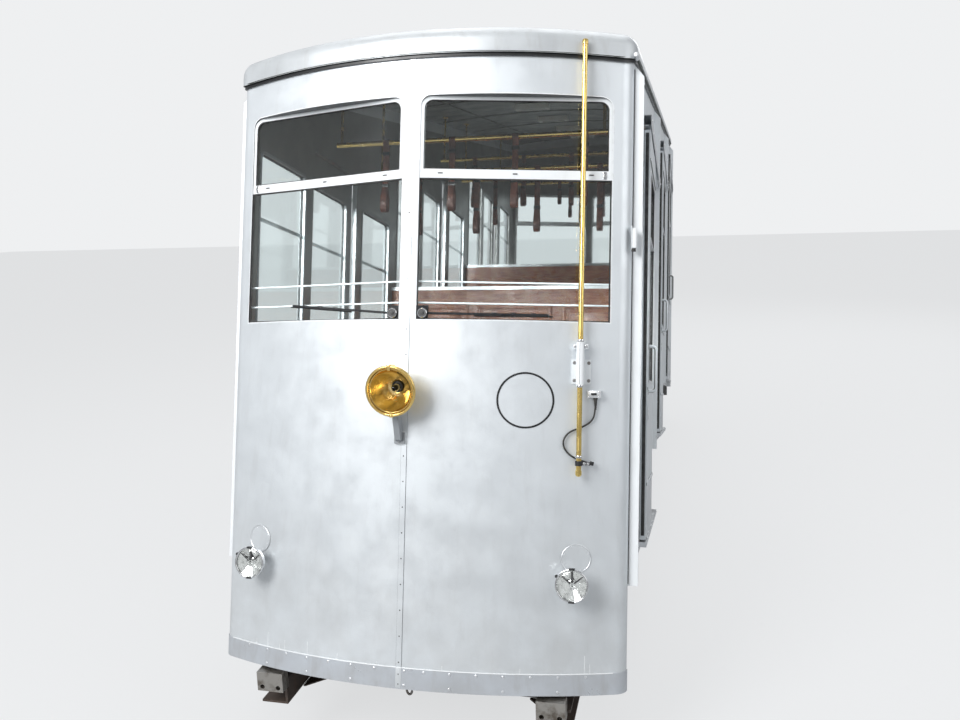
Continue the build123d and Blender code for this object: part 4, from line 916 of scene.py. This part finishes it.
# side walls: post and corner rivets, corner seals, a latch box, window trims, mouldings and rail bolts
sideLook = {"windowLow": 0.95, "windowHigh": 2.24026, "windowWidth": 0.6, "belt": 0.9, "postOut": 1.15,
    "rivet": (0.0042, 0.002), "rivetPitch": 0.158}
postRivets = []
cornerRivets = []
for side in (1, -1):
    for index, y in enumerate(postPlaces):
        start = y - 0.015
        if index == 0:
            start = y if side > 0 else y + 0.03
        if index == 3:
            start = y - 0.03
        low = bayFloors[min(index, 2)] - 0.11
        high = roofEdge["gutter"] + start * climb - 0.11
        count = int((high - low - 0.06) / sideLook["rivetPitch"])
        postRivets += [sideFrame(side, start + 0.015, low + 0.05 + k * sideLook["rivetPitch"],
            sideLook["postOut"]) for k in range(count + 1)]
    cornerRivets += [end @ sideFrame(side, 0.303, 0.6 + k * 0.1575) for end in ends for k in range(15)]
fitted(screwHead("postRivets", *sideLook["rivet"], slot=False), postRivets, "white_paint")
fitted(screwHead("cornerRivets", *sideLook["rivet"], slot=False), cornerRivets, "silver_paint")
fitted(block("cornerSeals", (0.3125, 0.53, 0), (0.3185, 3.17, 0.0035), 0.001, 1),
    [end @ sideFrame(side, 0, 0) for end in ends for side in (1, -1)], "black_rubber")
latch = plate("latchBox", rounded(-0.014, 0.014, -0.045, 0.058, 0.004), 0.026, 0.003)
latchFoot = plate("latchFoot", rounded(-0.011, 0.011, -0.06, -0.046, 0.002), 0.022, 0.002)
latchPlate = plate("latchPlate", rounded(-0.019, 0.019, -0.052, 0.07, 0.005), 0.003, 0.001)
latchSpot = [sideFrame(1, 0.262, 2.272)]
fitted(joined(latch, latchPlate), latchSpot, "white_paint")
fitted(latchFoot, latchSpot, "black_rubber")

windowPlaces = [sideFrame(side, y + bay * car["bay"], bayFloors[bay]) for bay in range(3)
    for y in (0.725, 2.335) for side in (1, -1)]
half = sideLook["windowWidth"] / 2
trimOutline = rounded(-half - 0.014, half + 0.014, sideLook["windowLow"] - 0.014,
    sideLook["windowHigh"] + 0.014, 0.054)
glassOutline = rounded(-half, half, sideLook["windowLow"], sideLook["windowHigh"], 0.04)
crossBar = ((-half + 0.001, 1.842, -0.014), (half - 0.001, 1.864, -0.002), 0.003)
fitted(plate("windowTrims", trimOutline, 0.0045, 0.0015, 0.0165), windowPlaces, "aluminium")
fitted(plate("windowInnerTrims", trimOutline, 0.0045, 0.0015, 0.0165),
    [place @ at(0, 0, -0.0405) for place in windowPlaces], "grey_paint")
fitted(plate("windowGlazing", glassOutline, 0.013, 0.002, 0.008),
    [place @ at(0, 0, -0.0148) for place in windowPlaces], "black_rubber")
fitted(block("windowCrossBars", *crossBar), windowPlaces, "aluminium")
trimScrews = screwHead("trimScrews", 0.0028, 0.0012)
trimSpots = [(x, z) for x in (-half - 0.006, half + 0.006) for z in (1.05, 1.38, 1.71, 2.04)]
trimSpots += [(x, z) for x in (-0.18, 0.0, 0.18) for z in (sideLook["windowLow"] - 0.006,
    sideLook["windowHigh"] + 0.006)]
fitted(trimScrews, [place @ at(x, z, 0.0045) for place in windowPlaces for x, z in trimSpots], "chrome")
belts = []
for bay in range(3):
    start = postPlaces[bay]
    for low, high in ((start + (0.065 if bay == 0 else 0.018), start + 0.828),
            (start + 1.592, start + 2.402)):
        for z in (sideLook["belt"], sideLook["windowHigh"] + 0.055):
            z += bayFloors[bay]
            belts.append(block("beltMouldings", (low, z - 0.011, 0), (high, z + 0.011, 0.008), 0.005, 3))
fitted(joined(*belts), [sideFrame(side, 0, 0) for side in (1, -1)], "silver_paint")

rail = {"boltPitch": 0.262, "boltHeight": 2.47826 + 0.045, "out": 1.156}
boltSpots = [(side, 1.123 + bay * car["bay"] + k * rail["boltPitch"], bayFloors[bay]) for bay in range(3)
    for side in (1, -1) for k in range(7)]
railBolts = [sideFrame(side, y, low + rail["boltHeight"], rail["out"]) for side, y, low in boltSpots]
sillBolts = [sideFrame(side, y, low - 0.031, 1.154) for side, y, low in boltSpots]
fitted(boltHead("doorRailBolts", 0.0062, 0.0042), railBolts, "aluminium")
fitted(boltHead("sillRailBolts", 0.0052, 0.0036), sillBolts, "aluminium")
print("sides dressed")

# doors: trims and glazing, a cross bar, a kick plate, handle roses, a lock, a closing rubber, mouldings
door = {"start": 1.13, "width": 0.8, "face": 1.148, "handleY": 0.076, "handleZ": (0.884, 1.156)}
middle = door["start"] + door["width"] / 2
onDoor = sideFrame(1, middle, bayFloors[0], door["face"])
doorTrim = plate("doorTrims", trimOutline, 0.004, 0.0014, 0.0165)
doorTrimScrews = copiesAt(screwHead("doorTrimScrews", 0.0028, 0.0012),
    [at(x, z, 0.004) for x, z in trimSpots])
kickPlate = plate("doorKickPlates", rounded(-0.345, 0.345, 0.035, 0.29, 0.012), 0.0022, 0.0008)
kickScrews = copiesAt(screwHead("kickPlateScrews", 0.0034, 0.0015),
    [at(x, z, 0.0022) for x in (-0.33, -0.165, 0, 0.165, 0.33) for z in (0.05, 0.275)])
rose = lathe("handleRoses", mm([(10.1, 0), (23, 0), (23.5, 1.5), (21, 4), (13, 6.5), (10.1, 6.5)]), 28)
handleX = -door["width"] / 2 + door["handleY"]
roses = copiesAt(rose, [at(handleX, z, 0) for z in door["handleZ"]])
roseScrews = copiesAt(screwHead("roseScrews", 0.0026, 0.0012),
    [at(handleX + x, z, 0.0042) for z in door["handleZ"] for x in (-0.0168, 0.0168)])
lockPlate = plate("doorLocks", rounded(-0.363, -0.325, 0.7, 0.8, 0.01), 0.0045, 0.0015)
lockBarrel = moved(lathe("lockBarrels", mm([(0, 8.2), (9, 7.8), (10.5, 6), (10.5, 0), (0, 0)]), 24),
    at(-0.344, 0.765, 0))
lockLever = plate("lockLevers", rounded(-0.35, -0.338, 0.712, 0.742, 0.0055), 0.009, 0.002)
doorBar = block("doorCrossBars", *crossBar)
brightParts = joined(doorTrim, doorTrimScrews, kickPlate, kickScrews, lockPlate, lockBarrel, lockLever,
    doorBar, name="doorTrim")
chromeParts = joined(roses, roseScrews, name="handleRoses")
doorGlazing = moved(plate("doorGlazing", glassOutline, 0.013, 0.002, 0.008), at(0, 0, -0.0148))
closingRubber = block("closingRubbers", (-0.4085, 0.02, -0.028), (-0.3995, 2.455, -0.008), 0.0035)
# painted shade: a black plate stands for the shade in the lock's key hole
keyHoleShade = plate("keyHoleShades", rounded(-0.3452, -0.3428, 0.759, 0.771, 0.0011, 2), 0.0084)
darkParts = joined(doorGlazing, closingRubber, keyHoleShade, name="doorRubber")
panelLines = [block("doorMouldings", (-0.385, z - 0.01, 0), (0.385, z + 0.01, 0.007), 0.0045, 3)
    for z in (sideLook["belt"], 0.325, sideLook["windowHigh"] + 0.055)]
silverParts = joined(*panelLines, name="doorMoulding")
for template, finish in ((brightParts, "aluminium"), (chromeParts, "chrome"), (darkParts, "black_rubber"),
        (silverParts, "silver_paint")):
    for sideName, mirror in (("right", Matrix.Identity(4)), ("left", Matrix.Scale(-1, 4, (1, 0, 0)))):
        for bay in range(3):
            name = template.name + sideName.title() + str(bay + 1)
            piece = bpy.data.objects.new(name, template.data.copy())
            shift = at(0, bay * car["bay"], bayFloors[bay] - bayFloors[0])
            body = "sliding_door_" + sideName + "_" + str(bay + 1)
            fitted(piece, [mirror @ shift @ onDoor], finish, body)
    bpy.data.objects.remove(template)
print("doors dressed")

# cabin: battens, leather straps, rims and painted shade in the slots on the lights, panelled partitions and
# screwed benches
cabin = {"battenRadius": 0.008, "grab": 2.48, "grabPlaces": (0.34, 0.66),
    "strapX": (-0.56, -0.12, 0.32, 0.76)}


def ceilingZ(x, y):
    return archZ(x, y, roofEdge["halfArch"], 0.16)


battens = []
for k in range(7):
    y = 0.32 + 1.21 * k
    line = [(x / 10, y, ceilingZ(x / 10, y) - 0.002) for x in range(-10, 11, 2)]
    battens.append(bentTube("ceilingBattens", line, cabin["battenRadius"], 1))
for x in (-0.62, 0.62):
    line = [(x, 0.15 + 0.95 * k, ceilingZ(x, 0.15 + 0.95 * k) - 0.003) for k in range(9)]
    battens.append(bentTube("ceilingBattens", line, cabin["battenRadius"], 1))
fitted(joined(*battens), inPlace, "headliner", angle=60)

topBow = [radians(200 - 27.5 * k) for k in range(9)]
strapSide = mm([(6.5, -45), (6, -110), (6, -285), (13, -315), (34, -370), (34.5, -405)])
lowBow = [radians(-15 - 25 * k) for k in range(7)]
strapLine = [(0.0195 * cos(a), 0.0195 * sin(a)) for a in topBow] + strapSide
strapLine += [(0.0355 * cos(a), -0.43 + 0.034 * sin(a)) for a in lowBow]
strapLine += [(-x, y) for x, y in reversed(strapSide)]
strap = moved(plate("handStraps", strapLine, 0.04, 0.0007, 0.0034, 1), at(0, 0, -0.02))
keeper = plate("strapKeepers", rounded(-0.0105, 0.0105, -0.012, 0.012, 0.003), 0.046, 0.001, 0.0028, 1)
keepers = copiesAt(keeper, [at(0, -0.288, -0.023), at(0, -0.075, -0.023)])
strapPlaces = []
# a strap's outline lies across the car, and its width along it
strapTurn = Matrix(((0, 0, 1), (1, 0, 0), (0, 1, 0))).to_4x4()
grabLines = [(bay, postPlaces[bay] + car["bay"] * share) for bay in range(3)
    for share in cabin["grabPlaces"]]
for bay, y in grabLines:
    for x in cabin["strapX"]:
        swing = Matrix.Rotation(random.uniform(-0.06, 0.06), 4, "X")
        hook = at(x + random.uniform(-0.02, 0.02), y, bayFloors[bay] + cabin["grab"])
        strapPlaces.append(hook @ swing @ strapTurn)
fitted(strap, strapPlaces, "leather")
fitted(keepers, strapPlaces, "black_paint")
railCups = lathe("grabRailCups", mm([(10.1, 0), (26, 0), (27, -3), (18, -10), (10.1, -14)]), 24)
cupPlaces = [at(x, y, ceilingZ(x, y) - 0.007) for bay, y in grabLines for x in (-0.868, 0.868)]
fitted(railCups, cupPlaces, "brass")

# painted shade: black plates stand for the shade in the lights' slots
lightSlots = plate("lightSlots", rounded(-0.115, 0.115, -0.0045, 0.0045, 0.004), 0.0008)
lightRims = plate("lightRims", rounded(-0.15, 0.15, -0.065, 0.065, 0.01), 0.004, 0.0012, 0.012)
lightPlaces = []
for y in [postPlaces[bay] + car["bay"] * share for bay in range(3) for share in (0.25, 0.75)]:
    under = at(0, y, ceilingZ(0.15, y) - 0.0006) @ Matrix.Rotation(car["slope"], 4, "X")
    lightPlaces.append(under @ at(0, 0, -0.045) @ turned(180, "X"))
fitted(lightSlots, [place @ at(0, step, 0) for place in lightPlaces
    for step in (-0.04, -0.02, 0, 0.02, 0.04)], "black_paint")
fitted(lightRims, lightPlaces, "lamp_white")

panelRing = plate("partitionMouldings", rounded(-0.31, 0.31, 0.18, 1.02, 0.012, 3), 0.01, 0.004, 0.03)
panelField = plate("partitionFields", rounded(-0.25, 0.25, 0.24, 0.96, 0.008, 3), 0.005, 0.003)
panelSet = joined(panelRing, panelField)
panelPlaces = [at(x, postPlaces[bay] + deep, bayFloors[bay]) @ turned(turn, "Z") @ faceOut
    for bay in (1, 2) for x in (-0.7, 0, 0.7) for deep, turn in ((0, 0), (0.03, 180))]
fitted(panelSet, panelPlaces, "varnished_wood")
slatScrews = []
for bay, lowEnd in ((0, False), (1, True), (1, False), (2, True)):
    start = postPlaces[bay] + 0.0303 if lowEnd else postPlaces[bay + 1] - 0.4403
    slatScrews += [at(x, start + slat * 0.0908 + 0.0384 + step, bayFloors[bay] + 0.43) for slat in range(5)
        for x in (-0.91, 0, 0.91) for step in (-0.022, 0.022)]
fitted(screwHead("slatScrews", 0.0045, 0.0012), slatScrews, "brass")

# driver's desks: two gauges, a lever on its quadrant and push buttons
desk = {"y": 0.036 + bowY(0.6) + 0.004, "top": 1.65, "lean": atan(0.03 / 0.3)}
deskPlace = at(0, desk["y"] + 0.15, desk["top"] - 0.015) @ Matrix.Rotation(-desk["lean"], 4, "X")
gaugeCase = lathe("deskGauges", mm([(0, 16), (50, 16), (52, 22), (58, 24), (62, 20), (63, 6), (68, 0),
    (0, 0)]), 40)
gaugePlaces = [deskPlace @ at(x, 0, 0) for x in (-0.2, -0.36)]
atBothEnds(gaugeCase, gaugePlaces, "brass")
dial = lathe("gaugeDials", mm([(0, 17.2), (49.5, 17.2), (49.5, 16.2), (0, 16.2)]), 40)
atBothEnds(dial, gaugePlaces, "dialFace")
ticks = copiesAt(block("gaugeMarks", (-0.0008, 0.036, 0.0172), (0.0008, 0.046, 0.0178), 0),
    [turned(-135 + 27 * k, "Z") for k in range(11)])
needle = plate("gaugeNeedles", mm([(-1.6, -8), (1.6, -8), (0.4, 38), (-0.4, 38)]), 0.0012)
atBothEnds(joined(ticks, moved(needle, turned(110, "Z") @ at(0, 0, 0.0182))), gaugePlaces, "black_paint")
atBothEnds(joined(plate("leverQuadrants", rounded(-0.022, 0.022, -0.085, 0.085, 0.01), 0.006, 0.002),
    bentTube("leverRods", [(0, 0, 0.004), (0, 0.012, 0.06), (0, 0.026, 0.115)], 0.0055, 2)),
    [deskPlace @ at(0.02, 0, 0)], "aluminium")
atBothEnds(lathe("leverKnobs", mm([(0, 34), (10, 31), (16, 21), (15.5, 12), (8, 2), (6, -6), (0, -6)]),
    24), [deskPlace @ at(0.02, 0.026, 0.115)], "black_paint")
atBothEnds(lathe("deskButtons", mm([(0, 13), (9, 12), (10.5, 9), (10.5, 4), (15, 3.5), (16, 0), (0, 0)]),
    24), [deskPlace @ at(-0.5 + 0.045 * k, -0.07, 0) for k in range(4)], "black_paint")
print("cabin dressed")

# running gear, set out along the track: axle box caps, bolts, gussets, rivets, a tow link, a rope pin
gear = {"beamX": 0.765, "beamLow": -0.257, "axles": (1.04, 6.14), "wheelZ": -0.305,
    "crosses": [0.497] + [0.197 + 1.26633 * k for k in range(1, 7)]}
capPlaces = []
capBolts = []
keepBolts = []
for y in gear["axles"]:
    for side in (-1, 1):
        out = at(side * (gear["beamX"] + 0.095), y, gear["wheelZ"]) @ turned(90 * side, "Y")
        capPlaces.append(out)
        capBolts += [out @ at(a, b, 0.004) for a, b in onCircle(6, 0.049, 30)]
        keepBolts += [at(0, step, 0.02) @ out for step in (-0.072, 0.072)]
onTrack(lathe("axleBoxCaps", mm([(0, 12), (30, 12), (34, 8), (36, 4), (60, 4), (62, 0), (0, 0)]), 36),
    capPlaces, "frame_steel")
onTrack(boltHead("axleBoxBolts", 0.006, 0.005), capBolts, "wheel_steel")
onTrack(boltHead("axleBoxSideBolts", 0.009, 0.007), keepBolts, "wheel_steel")
gusset = plate("frameGussets", mm([(0, 0), (110, 0), (110, 12), (12, 110), (0, 110)]), 0.008, 0.0015, 0, 1)
gussetPlaces = [at(side * 0.69, y + turn * 0.045, gear["beamLow"] - 0.008)
    @ Matrix.Diagonal((-side, turn, 1, 1)) for y in gear["crosses"] for side in (-1, 1) for turn in (1, -1)]
webBolts = [at(side * 0.702, 0.3 + 0.25 * k, -0.187) @ turned(90 * side, "Y") for side in (-1, 1)
    for k in range(30)]
onTrack(gusset, gussetPlaces, "frame_steel")
onTrack(boltHead("beamBolts", 0.009, 0.007), webBolts, "frame_steel")
flangeRivets = [at(side * x, 0.26 + 0.21 * k, gear["beamLow"]) @ turned(180, "X") for side in (-1, 1)
    for x in (0.79, 0.82) for k in range(36) if min(abs(0.26 + 0.21 * k - a) for a in gear["axles"]) > 0.12]
onTrack(screwHead("beamRivets", 0.008, 0.005, slot=False), flangeRivets, "frame_steel")
for body, y in (("wheelset_downhill", gear["axles"][0]), ("wheelset_uphill", gear["axles"][1])):
    hubBolts = []
    for x, turn in ((-0.649, -1), (-0.422, 1), (0.474, -1), (0.592, 1)):
        hub = at(x, y, gear["wheelZ"]) @ turned(90 * turn, "Y")
        hubBolts += [hub @ at(a, b, -0.001) for a, b in onCircle(6, 0.066)]
    onTrack(boltHead("hubBolts" + body.split("_")[1].title(), 0.008, 0.006), hubBolts, "wheel_steel", body)
linkPlace = [at(-0.11, 0.47, gear["beamLow"])]
linkLine = mm([(-17.5, 6), (-17.5, -39), (-12, -62), (0, -72), (12, -62), (17.5, -39), (17.5, 6)])
onTrack(bentTube("towLink", [(x, 0, z) for x, z in linkLine], 0.0065, 2), linkPlace, "wheel_steel",
    angle=60)
onTrack(block("towLinkLug", (-0.032, -0.018, -0.014), (0.032, 0.018, 0.001), 0.003), linkPlace,
    "frame_steel")
pin = lathe("ropePin", mm([(0, 58), (26, 58), (28.5, 55), (28.5, -55), (26, -58), (0, -58)]), 32)
pinHead = lathe("ropePinHeads", mm([(0, 50), (36, 50), (38, 47), (38, 34), (36, 32), (0, 32)]), 32)
onTrack(joined(pin, pinHead), [at(0, 7.858, gear["beamLow"] - 0.074) @ turned(90, "Y")], "wheel_steel")
print("running gear dressed")

# stage
clearSelection()
bpy.ops.mesh.primitive_plane_add(size=120, location=(0, 0, 0))
floor = bpy.context.object
floor.name = "stageFloor"
floorFinish = newFinish("stageFloor", (0.5, 0.51, 0.52), 0.0, 0.9)
glow = addNode(floorFinish, "Emission", Color=(0.95, 0.96, 0.97, 1), Strength=1.0)
mixSurfaces(floorFinish, times(floorFinish, seenShare(floorFinish), 0.72),
    floorFinish.node_tree.nodes["Principled BSDF"].outputs[0], glow.outputs[0])
floor.data.materials.append(floorFinish)
world = bpy.data.worlds.new("studio")
bpy.context.scene.world = world
world.use_nodes = True
sky = world.node_tree.nodes["Background"]
sky.inputs["Color"].default_value = (0.96, 0.975, 1.0, 1)
sky.inputs["Strength"].default_value = 0.42
# the backdrop is plain and pale where it is seen, straight or through glass
seen = addNode(world, "Background", Color=(0.86, 0.87, 0.88, 1), Strength=1)
mixSurfaces(world, seenShare(world), sky.outputs[0], seen.outputs[0], "World Output")

for name, place, aim, size, watts in (
    ("keyLamp", (-4.2, -12.4, 8.2), (0, -3, 1.5), 5, 1020),
    ("noseLamp", (-1.2, -6.4, 6.2), (0, -4.4, 2), 2.4, 55),
    ("fillLamp", (8, -5, 6), (0, -1, 1.5), 6, 170),
    ("topLamp", (0, 1, 10), (0, 0, 1), 8, 300),
    ("rearLamp", (5, 12, 9), (0, 3, 2), 5, 420),
):
    data = bpy.data.lights.new(name, "AREA")
    data.energy = watts
    data.size = size
    light = bpy.data.objects.new(name, data)
    bpy.context.scene.collection.objects.link(light)
    light.location = place
    light.rotation_euler = (Vector(aim) - Vector(place)).to_track_quat("-Z", "Y").to_euler()

bpy.context.scene.view_settings.view_transform = "Standard"
bpy.context.view_layer.update()
